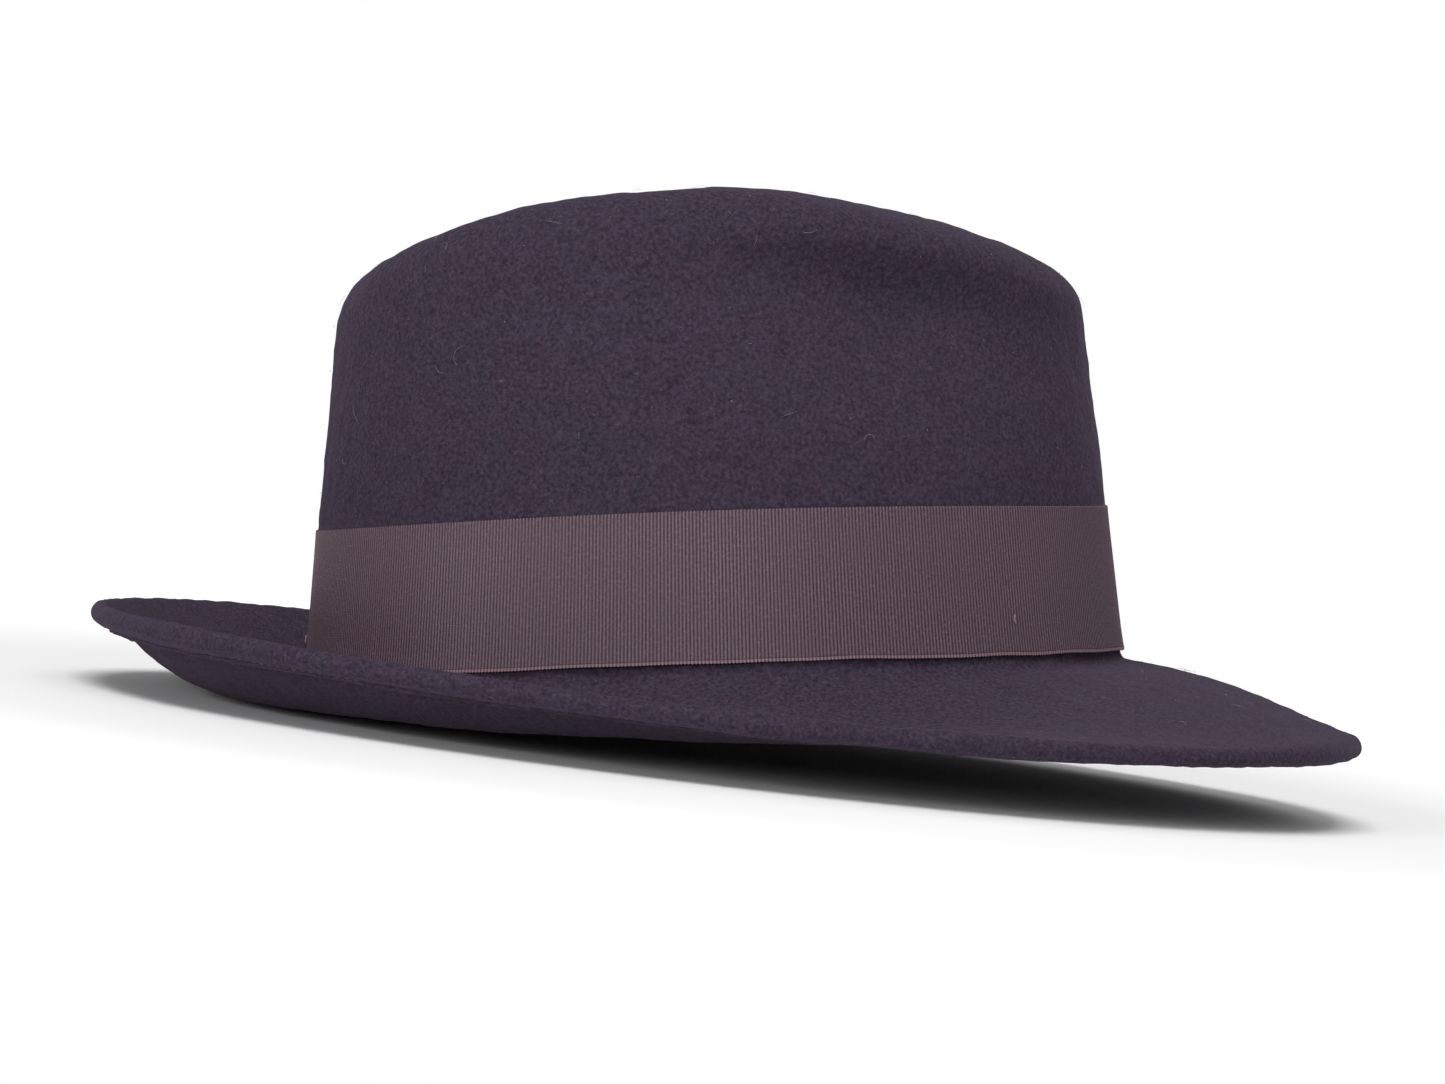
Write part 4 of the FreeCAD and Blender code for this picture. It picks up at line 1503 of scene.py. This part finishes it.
        def place(along: np.ndarray, across: np.ndarray, lift: np.ndarray) -> np.ndarray:
            """Follow the wrapped line, gathered a little at the middle.

            Args:
                along: way along the strip, in millimetres.
                across: way across the strip, in millimetres.
                lift: distance off the ribbon's middle, in millimetres.

            Returns:
                Points in the hat's frame.
            """
            height, out = np.interp(along, run, line_h), np.interp(along, run, line_o)
            dh, do = np.interp(along, run, slope_h), np.interp(along, run, slope_o)
            size = np.hypot(dh, do)
            from_middle = (height - self.low - self.width / 2) / self.gather_reach
            gather = 1 - self.keeper_gather * np.exp(-(from_middle**2))
            u = (np.asarray(across) - self.keeper_half) * gather
            return self.on_side(shop, u, height - lift * do / size, out + lift * dh / size)

        made = self.weave.strip(shop, "bow_keeper_wrap", length, 2 * self.keeper_half, place, finish)
        return settle(made, "grosgrain_ribbon", "bow_keeper")

    def build(self, shop: Workshop, finish: bpy.types.Material) -> None:
        """Make the whole bow.

        Args:
            shop: the hat's shape, the way round its crown and its rest pose.
            finish: the piece's material.
        """
        self.tails(shop, finish)
        self.loops(shop, finish)
        self.keeper(shop, finish)


# --- Sweatband -------------------------------------------------------------------------------------


@dataclass
class Sweatband:
    """The leather band on the head, its reed, stitches, seam tape and little bow."""

    low: float = 1.0
    high: float = 55.0
    thickness: float = 0.9
    gap_low: float = 0.3
    gap_high: float = 3.6
    reed_radius: float = 1.1
    wrap_depth: float = 0.07
    wraps: int = 75
    waves: Unevenness = Unevenness(seed=31, wavelength=34.0, depth=0.35)
    stitch_height: float = 7.0
    stitch_pitch: float = 3.4
    stitch_length: float = 2.5
    stitch_radius: float = 0.2
    stitch_lift: float = 0.45
    stitch_slant: float = 0.35
    groove_depth: float = 0.3
    groove_reach: float = 0.7
    tape_half_width: float = 4.2
    tape_low: float = 11.0
    tape_high: float = 52.0
    tape_thickness: float = 0.5
    inset: float = 4.0
    tag_angle: float = 155.0
    tag_half_width: float = 11.0
    tag_low: float = 23.5
    tag_high: float = 36.5
    tag_gap: float = 0.7
    tag_curl: float = 0.8
    tag_thickness: float = 0.35
    bow_level: float = 45.0
    columns: int = 480

    def depth(self, shape: HatShape, height: Any) -> Any:
        """Depth of the band's outer face below the felt's upper face."""
        share = (height - self.low) / (self.high - self.low)
        return shape.felt_thickness + self.gap_low + (self.gap_high - self.gap_low) * share

    def band(self, shop: Workshop, finish: bpy.types.Material) -> bpy.types.Object:
        """Make the leather band, with the slight waves that leather takes.

        Args:
            shop: the hat's shape, the way round its crown and its rest pose.
            finish: the piece's material.

        Returns:
            The finished piece.
        """
        angle = np.arange(self.columns) * math.tau / self.columns
        levels = np.concatenate([[0.0, 0.004, 0.02], np.linspace(0.05, 0.95, 22), [0.98, 0.996, 1.0]])
        rings = []
        for face, order in ((1, levels), (0, levels[::-1])):
            for level in order:
                height = self.low + (self.high - self.low) * level
                rounding = 0.25 * self.thickness * (1 - min(1, min(level, 1 - level) / 0.02))
                skin = self.thickness * face + rounding * (1 - 2 * face)
                wander = self.waves.at(shop.shape.on_wall(angle, height, 0.0)) * math.sin(level * math.pi)
                from_seam = (height - self.stitch_height) / self.groove_reach
                groove = self.groove_depth * math.exp(-(from_seam**2)) * face
                inward = self.depth(shop.shape, height) + skin + 0.5 * (wander + 0.35) * level - groove
                rings.append(shop.shape.on_wall(angle, height, -inward))
        at = np.stack(rings)
        faces = grid_faces(len(rings), self.columns, True, True)
        made = shop.piece("sweatband_leather_band", at.reshape(-1, 3), faces, finish)
        return settle(made, "sweatband_leather", "sweatband")

    def reed(self, shop: Workshop, finish: bpy.types.Material) -> bpy.types.Object:
        """Make the reed, wrapped round with tape.

        Args:
            shop: the hat's shape, the way round its crown and its rest pose.
            finish: the piece's material.

        Returns:
            The finished piece.
        """
        count = 900
        angle = np.arange(count) * math.tau / count
        height = self.low - self.reed_radius - 0.15
        inward = self.depth(shop.shape, self.low) + self.reed_radius
        centre = shop.shape.on_wall(angle, height, -inward)
        first = unit(centre - shop.shape.on_wall(angle, height, 0.0))
        wraps = self.wrap_depth * np.abs(np.sin(angle * self.wraps))
        at, faces = tube(centre, first, np.broadcast_to(UP, first.shape), self.reed_radius - wraps, 12, True)
        return settle(shop.piece("sweatband_reed_cord", at, faces, finish), "reed_tape", "sweatband_reed")

    def seam(self, shop: Workshop, finish: bpy.types.Material) -> bpy.types.Object:
        """Make the zigzag of stitches that holds the leather to the reed.

        Args:
            shop: the hat's shape, the way round its crown and its rest pose.
            finish: the piece's material.

        Returns:
            The finished piece.
        """
        count = int((shop.girth.total - 20) / self.stitch_pitch)
        length = (np.arange(count) + 0.5) * shop.girth.total / count
        angle = shop.girth.angle_at(length)
        height = self.stitch_height
        inward = self.depth(shop.shape, height) + self.thickness - 0.1
        line = shop.shape.on_wall(angle, height, -inward)
        outward = unit(line - shop.shape.on_wall(angle, height, 0.0))
        sizes = self.stitch_length, self.stitch_radius, self.stitch_lift, self.stitch_slant
        at, faces = stitches(line, outward, *sizes)
        made = shop.piece("sweatband_seam_stitches", at, faces, finish)
        return settle(made, "sewing_thread", "sweatband_stitching")

    def plate(
        self,
        shop: Workshop,
        name: str,
        middle: float,
        half_width: float,
        low: float,
        high: float,
        inward: Callable[[np.ndarray, np.ndarray], np.ndarray],
        thickness: float,
        finish: bpy.types.Material,
    ) -> bpy.types.Object:
        """A small curved plate on the inside of the sweatband.

        Args:
            shop: the workshop.
            name: the piece's name.
            middle: the angle of its middle.
            half_width: half its width.
            low: its lower edge's height.
            high: its upper edge's height.
            inward: depth of its outer face, from the way along (-1 to 1) and the height.
            thickness: its thickness.
            finish: its material.

        Returns:
            The new piece.
        """
        across, up = np.linspace(-1, 1, 25), np.linspace(0, 1, 31)
        centre = shop.girth.length_at(middle)
        angle = shop.girth.angle_at(centre + across * half_width)
        sides = []
        for skin in (0.0, thickness):
            rows = []
            for share in up:
                corner = np.clip((np.abs(across) - 0.9) / 0.1, 0, 1) ** 2
                ends = max(0.0, abs(share - 0.5) * 2 - 0.94) / 0.06
                inset = 0.7 * corner * ends * np.sign(0.5 - share)
                height = low + (high - low) * share + inset
                rows.append(shop.shape.on_wall(angle, height, -(inward(across, height) + skin)))
            sides.append(np.stack(rows))
        rows, columns = len(up), len(across)
        at = np.concatenate([side.reshape(-1, 3) for side in sides])
        faces = grid_faces(rows, columns, False).tolist()
        faces += grid_faces(rows, columns, False, first=rows * columns).tolist()
        rim = (
            list(range(columns))
            + [row * columns + columns - 1 for row in range(1, rows)]
            + [(rows - 1) * columns + place for place in range(columns - 2, -1, -1)]
            + [row * columns for row in range(rows - 2, 0, -1)]
        )
        for index, corner in enumerate(rim):
            following = rim[(index + 1) % len(rim)]
            faces.append([corner, following, following + rows * columns, corner + rows * columns])
        return shop.piece(name, at, faces, finish)

    def seam_tape(self, shop: Workshop, finish: bpy.types.Material) -> bpy.types.Object:
        """Make the tape over the back seam.

        Args:
            shop: the hat's shape, the way round its crown and its rest pose.
            finish: the piece's material.

        Returns:
            The finished piece.
        """

        def inward(across: np.ndarray, height: np.ndarray) -> np.ndarray:
            """Lie just off the leather, crowned over the seam."""
            return self.depth(shop.shape, height) + self.thickness + 0.45 + 0.2 * (1 - across**2)

        middle = math.pi - ANGLE_SLACK
        half, low, high = self.tape_half_width, self.tape_low, self.tape_high
        made = self.plate(
            shop, "sweatband_back_tape", middle, half, low, high, inward, self.tape_thickness, finish
        )
        return settle(made, "sweatband_leather", "sweatband_seam_tape")

    def size_tag(self, shop: Workshop, finish: bpy.types.Material) -> bpy.types.Object:
        """Make the blank size tag, tucked flat against the leather.

        Args:
            shop: the hat's shape, the way round its crown and its rest pose.
            finish: the piece's material.

        Returns:
            The finished piece.
        """

        def inward(across: np.ndarray, height: np.ndarray) -> np.ndarray:
            """Curl a little away from the leather at one end."""
            curl = self.tag_curl * np.clip(across, 0, 1) ** 2
            return self.depth(shop.shape, height) + self.thickness + self.tag_gap + curl

        half, low, high = self.tag_half_width, self.tag_low, self.tag_high
        middle = math.radians(self.tag_angle)
        made = self.plate(
            shop, "size_tag_blank", middle, half, low, high, inward, self.tag_thickness, finish
        )
        return settle(made, "tag_cloth", "size_tag")

    def back_bow(self, shop: Workshop, finish: bpy.types.Material) -> bpy.types.Object:
        """Make the little bow at the back: two loops and a knot of folded ribbon.

        Args:
            shop: the hat's shape, the way round its crown and its rest pose.
            finish: the piece's material.

        Returns:
            The finished piece.
        """
        level, parts = self.bow_level, []
        base = self.depth(shop.shape, 50.0) + self.thickness + 1.4
        for side in (-1, 1):
            share = np.linspace(0, 1, 17)
            reach = 1.0 + 11.0 * share
            half = (1.2 + 2.3 * np.sin(np.clip(share * 1.15, 0, 1) * math.pi / 2)) * np.sqrt(1.02 - share**10)
            swell = 0.45 + 0.55 * np.sin(share * math.pi)
            turns = np.arange(16) * math.tau / 16
            u = side * reach[:, None] + 0 * turns[None]
            v = level + half[:, None] * np.sign(np.cos(turns)) * np.abs(np.cos(turns)) ** 0.6
            w = base + 0.6 + swell[:, None] * np.sin(turns)[None]
            angle = shop.girth.angle_at(shop.girth.total + u.ravel())
            at = shop.shape.on_wall(angle, v.ravel(), -w.ravel())
            faces = grid_faces(17, 16, True).tolist() + [list(range(16)), list(range(256, 272))]
            parts.append((at, faces))
        turns, share = np.arange(16) * math.tau / 16, np.linspace(-1, 1, 11)
        u = share[:, None] * 2.1 + 0 * turns[None]
        body = np.sqrt(np.clip(1.03 - share**6, 0.05, 1))[:, None]
        v = level + 2.5 * body * np.cos(turns)[None]
        w = base + 0.7 + 1.0 * body * np.sin(turns)[None]
        angle = shop.girth.angle_at(shop.girth.total + u.ravel())
        knot = shop.shape.on_wall(angle, v.ravel(), -w.ravel())
        parts.append((knot, grid_faces(11, 16, True).tolist() + [list(range(16)), list(range(160, 176))]))
        return settle(shop.piece("sweatband_back_bow", *join(parts), finish), "reed_tape", "sweatband_bow")


# --- Lining ----------------------------------------------------------------------------------------


@dataclass
class Lining:
    """The satin lining: a pleated side, a smooth tip, and piping over the seam between them."""

    gap: float = 1.2
    thickness: float = 0.35
    seam_station: float = 1.5
    low_station: float = 2.6
    pleats: int = 46
    pleat_depth: float = 1.1
    pleat_rise: float = 0.65
    pleat_points: int = 16
    side_gap: float = 0.3
    tip_gap: float = 0.4
    piping_depth: float = 1.6
    piping_radius: float = 0.8
    piping_twist: float = 0.08
    piping_turns: int = 220
    side_cut: tuple[float, float] = (66.0, 600.0)
    tip_cut: tuple[float, float] = (145.0, 185.0)
    tip_area: float = 0.0215

    def pleat(self, angle: np.ndarray) -> np.ndarray:
        """Height of the pleats round the head: each rises slowly and folds back sharply."""
        phase = (angle * self.pleats / math.tau + 0.25 * np.sin(angle * 5)) % 1.0
        return np.where(phase < self.pleat_rise, phase / self.pleat_rise, (1 - phase) / (1 - self.pleat_rise))

    def side(self, shop: Workshop, finish: bpy.types.Material) -> bpy.types.Object:
        """Make the pleated side.

        Args:
            shop: the hat's shape, the way round its crown and its rest pose.
            finish: the piece's material.

        Returns:
            The finished piece.
        """
        columns = self.pleats * self.pleat_points
        angle = np.arange(columns) * math.tau / columns
        stations = np.linspace(self.seam_station + 0.01, self.low_station, 34)
        soft = Unevenness(seed=41, wavelength=22.0, depth=0.3)
        rings = []
        for skin, order in ((0.0, stations), (self.thickness, stations[::-1])):
            for station in order:
                share = (station - self.seam_station) / (self.low_station - self.seam_station)
                fade = math.sin(min(share * 1.6, 1.0) * math.pi / 2) * (0.35 + 0.65 * (1 - share))
                face = shop.shape.face(angle, station)
                fold = self.pleat_depth * self.pleat(angle) * (0.35 + fade)
                depth = shop.shape.felt_thickness + self.gap + skin + fold + self.side_gap
                depth = depth + soft.at(face) * share
                rings.append(shop.shape.below(angle, station, depth))
        at = np.stack(rings)
        faces = grid_faces(len(rings), columns, True, True)
        made = shop.piece("lining_pleated_side", at.reshape(-1, 3), faces, finish)
        return settle(made, "lining_satin", "lining_side")

    def tip(self, shop: Workshop, finish: bpy.types.Material) -> bpy.types.Object:
        """Make the smooth oval tip.

        Args:
            shop: the hat's shape, the way round its crown and its rest pose.
            finish: the piece's material.

        Returns:
            The finished piece.
        """
        columns = 240
        angle = np.arange(columns) * math.tau / columns
        over_shoulder = np.linspace(1.0, self.seam_station - 0.03, 10)[1:]
        stations = np.concatenate([np.linspace(0.08, 1.0, 36), over_shoulder])
        soft = Unevenness(seed=43, wavelength=30.0, depth=0.35)
        rings = []
        for skin, order in ((0.0, stations), (self.thickness, stations[::-1])):
            for station in order:
                face = shop.shape.face(angle, station)
                depth = shop.shape.felt_thickness + self.gap + self.tip_gap + skin + soft.at(face)
                rings.append(shop.shape.below(angle, station, depth))
        at = np.stack(rings).reshape(-1, 3)
        depths = np.array([0.0, self.thickness]) + shop.shape.felt_thickness + self.gap + self.tip_gap
        poles = points([shop.shape.dent_middle] * 2, 0, shop.shape.dent_floor - depths)
        faces = grid_faces(len(rings), columns, True).tolist()
        faces += pole_faces(len(at), list(range(columns)))
        faces += pole_faces(len(at) + 1, list(range(len(at) - columns, len(at))))
        made = shop.piece("lining_oval_tip", np.concatenate([at, poles]), faces, finish)
        return settle(made, "lining_satin", "lining_tip")

    def piping(self, shop: Workshop, finish: bpy.types.Material) -> bpy.types.Object:
        """Make the twisted piping cord.

        Args:
            shop: the hat's shape, the way round its crown and its rest pose.
            finish: the piece's material.

        Returns:
            The finished piece.
        """
        count = 900
        angle = np.arange(count) * math.tau / count
        depth = shop.shape.felt_thickness + self.gap + self.thickness + self.piping_depth
        centre = shop.shape.below(angle, self.seam_station, depth)
        normal, along = shop.shape.axes(angle, self.seam_station)
        radius = self.piping_radius + self.piping_twist * np.cos(angle * self.piping_turns)
        at, faces = tube(centre, normal, along, radius, 10, True)
        return settle(shop.piece("lining_piping_cord", at, faces, finish), "reed_tape", "lining_piping")

    def build(self, shop: Workshop, satin: bpy.types.Material, cord: bpy.types.Material) -> None:
        """Make the whole lining.

        Args:
            shop: the hat's shape, the way round its crown and its rest pose.
            satin: the lining's material.
            cord: the piping's material.
        """
        self.side(shop, satin)
        self.tip(shop, satin)
        self.piping(shop, cord)


# --- Stray fibres ----------------------------------------------------------------------------------


@dataclass
class StrayFibres:
    """Loose wool fibres and specks of lint that cling to the nap."""

    seed: int = 17
    fibres: int = 85
    specks: int = 110
    radius: float = 0.03
    fibre_lengths: tuple[float, float] = (1.5, 6.0)
    speck_lengths: tuple[float, float] = (0.25, 0.7)
    speck_radii: tuple[float, float] = (0.05, 0.09)
    most_bend: float = 3.4

    def build(self, shop: Workshop, finish: bpy.types.Material) -> bpy.types.Object:
        """Make the fibres, each a thin curl lying on the felt.

        Args:
            shop: the hat's shape, the way round its crown and its rest pose.
            finish: the piece's material.

        Returns:
            The finished piece.
        """
        draw = np.random.default_rng(self.seed)
        parts = []
        for number in range(self.fibres + self.specks):
            speck = number >= self.fibres
            length = draw.uniform(*(self.speck_lengths if speck else self.fibre_lengths))
            radius = draw.uniform(*self.speck_radii) if speck else self.radius
            angle = np.array([draw.uniform(0, math.tau)])
            station = draw.choice([draw.uniform(1.1, 2.5), draw.uniform(4.1, 4.95)])
            normal, along = (axis[0] for axis in shop.shape.axes(angle, station))
            start = shop.shape.face(angle, station)[0] + normal * draw.uniform(0.1, 0.25)
            side = np.cross(normal, along)
            heading = draw.uniform(0, math.tau)
            bend = draw.uniform(-self.most_bend, self.most_bend) / length
            share = np.linspace(0, length, 9)
            turned = heading + bend * share
            step = length / 8
            across = np.concatenate([[0], np.cumsum(np.cos(turned[:-1]) * step)])
            down = np.concatenate([[0], np.cumsum(np.sin(turned[:-1]) * step)])
            rise = draw.uniform(0.0, 0.5) * np.sin(share / length * math.pi)
            line = start + side * column(across) + along * column(down) + normal * column(rise)
            ahead = unit(np.gradient(line, axis=0))
            first = np.broadcast_to(normal, line.shape)
            parts.append(tube(line, first, unit(np.cross(first, ahead)), radius, 4, False))
        return settle(shop.piece("stray_wool_fibres", *join(parts), finish), "wool_felt")


# --- Studio ----------------------------------------------------------------------------------------


class LightUse(Enum):
    """What each lamp is for."""

    KEY = "key"
    TOP = "top"
    FILL = "fill"
    REAR = "rear"


@dataclass(frozen=True)
class SoftLamp:
    """A square soft box that points at the hat from a bearing off the camera's side, and a height."""

    use: LightUse
    bearing: float
    elevation: float
    size: float
    power: float
    distance: float = 2.2

    def build(self, target: Vector) -> None:
        """Hang the lamp and turn it to the hat.

        Args:
            target: the point to face.
        """
        data = bpy.data.lights.new(f"{self.use.value}_light", "AREA")
        data.size = self.size
        data.energy = self.power
        bearing, elevation = math.radians(self.bearing), math.radians(self.elevation)
        level = math.cos(elevation)
        away = Vector((-math.sin(bearing) * level, -math.cos(bearing) * level, math.sin(elevation)))
        lamp = bpy.data.objects.new(data.name, data)
        lamp.location = target + away * self.distance
        lamp.rotation_euler = (-away).to_track_quat("-Z", "Y").to_euler()
        bpy.context.scene.collection.objects.link(lamp)


@dataclass
class Studio:
    """The pale floor, the soft light and the camera."""

    floor_radius: float = 0.7
    backdrop: float = 1.0
    sky: float = 0.25
    distance: float = 1308.0
    eye_height: float = 64.75
    aside: float = 2.15
    view_pitch: float = 1.82
    view_yaw: float = -0.3
    view_roll: float = -0.19
    look_down: float = 1.381
    lens: float = 127.1
    lamps: tuple[SoftLamp, ...] = (
        SoftLamp(LightUse.KEY, 30.0, 11.0, 0.7, 20.0),
        SoftLamp(LightUse.TOP, 5.0, 64.0, 1.3, 34.0),
        SoftLamp(LightUse.FILL, -60.0, 38.0, 1.3, 3.0),
        SoftLamp(LightUse.REAR, -150.0, 40.0, 1.3, 9.0),
    )

    def floor(self, finish: bpy.types.Material) -> None:
        """Lay the floor under the hat.

        Args:
            finish: the piece's material.
        """
        shaper = bmesh.new()
        bmesh.ops.create_circle(shaper, cap_ends=True, segments=96, radius=self.floor_radius)
        mesh = bpy.data.meshes.new("studio_floor")
        shaper.to_mesh(mesh)
        shaper.free()
        mesh.materials.append(finish)
        laid = bpy.data.objects.new("studio_floor", mesh)
        bpy.context.scene.collection.objects.link(laid)
        laid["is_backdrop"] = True

    def light(self, target: Vector) -> None:
        """Light the hat softly, most from above and from its rear right, before a white backdrop.

        Args:
            target: the point that every lamp faces.
        """
        world = bpy.data.worlds.new("studio_sky")
        world.use_nodes = True
        tree = world.node_tree
        tree.nodes.clear()
        shown, lighting = (
            add_node(tree, "Background", values={"Color": (1.0, 1.0, 1.0, 1.0), "Strength": strength})
            for strength in (self.backdrop, self.sky)
        )
        seen = add_node(tree, "LightPath").outputs["Is Camera Ray"]
        both = add_node(tree, "MixShader", links={0: seen, 1: lighting.outputs[0], 2: shown.outputs[0]})
        add_node(tree, "OutputWorld", links={"Surface": both.outputs[0]})
        bpy.context.scene.world = world
        bpy.context.scene.view_settings.view_transform = "Standard"
        for lamp in self.lamps:
            lamp.build(target)

    def camera(self, pose: RestPose) -> None:
        """Place the camera level with the crown's foot on the wearer's right.

        Args:
            pose: the hat's rest pose, which tips the camera with the hat.
        """
        as_worn = (
            Matrix.Rotation(math.radians(self.view_yaw), 4, "Z")
            @ Matrix.Rotation(math.radians(self.view_roll), 4, "X")
            @ Matrix.Rotation(-math.radians(self.view_pitch), 4, "Y")
        )
        stand = Matrix.Translation((self.aside * MM, -self.distance * MM, self.eye_height * MM))
        aim = Matrix.Rotation(math.pi / 2 - math.radians(self.look_down), 4, "X")
        rest = Matrix.Translation(Vector(pose.shift)) @ Matrix(pose.turn.tolist()).to_4x4()
        data = bpy.data.cameras.new("camera")
        data.lens = self.lens
        data.sensor_width = 36.0
        data.clip_start = 0.05
        seen_by = bpy.data.objects.new("camera", data)
        seen_by.matrix_world = rest @ as_worn.inverted() @ stand @ aim
        bpy.context.scene.collection.objects.link(seen_by)
        bpy.context.scene.camera = seen_by

    def build(self, pose: RestPose) -> None:
        """Set up the whole studio.

        Args:
            pose: the hat's rest pose.
        """
        low, high = felt_box()
        self.floor(FloorFinish().build())
        self.light(Vector((low + high) / 2))
        self.camera(pose)


def main() -> None:
    """Build the hat's sub-assemblies in order, then the studio."""
    logging.basicConfig(level=logging.INFO, format="%(message)s")
    shape = HatShape()
    felt_body = FeltBody()
    felt_rings = felt_body.surface(shape)
    pose = RestPose.of(felt_rings, pitch_degrees=8.5)
    shop = Workshop(shape, Girth(shape), pose)
    felt = FeltFinish().build()
    ribbon = GrosgrainFinish().build()
    dark_thread = ThreadFinish("cotton_thread_spun_dark", "#2C2430", "#453A48").build()
    tack_thread = ThreadFinish("cotton_thread_spun_rose", "#6A4E54", "#94747A").build()
    leather = LeatherFinish().build()
    tape = PlainClothFinish("cotton_tape_woven", "#2A2229", "#4A3E49").build()
    label = PlainClothFinish("nylon_label_cloth_woven", "#B9B4AA", "#DAD6CC").build()
    satin = SatinFinish().build()
    lint = PlainClothFinish("loose_wool_fibre", "#7A7480", "#A29CA8").build()

    felt_body.build(shop, felt_rings, felt)
    WeltStitching().build(shop, dark_thread)
    band = Hatband()
    band.ribbon(shop, ribbon)
    band.tacks(shop, tack_thread)
    Bow().build(shop, ribbon)
    sweatband = Sweatband()
    sweatband.band(shop, leather)
    sweatband.reed(shop, tape)
    sweatband.seam(shop, dark_thread)
    sweatband.seam_tape(shop, leather)
    sweatband.size_tag(shop, label)
    sweatband.back_bow(shop, tape)
    Lining().build(shop, satin, tape)
    StrayFibres().build(shop, lint)
    Studio().build(pose)

    boxes = {"cad": CAD_BOX, "visual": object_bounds()}
    sizes = {key: [[float(number) for number in corner] for corner in box] for key, box in boxes.items()}


if __name__ == "__main__":
    main()
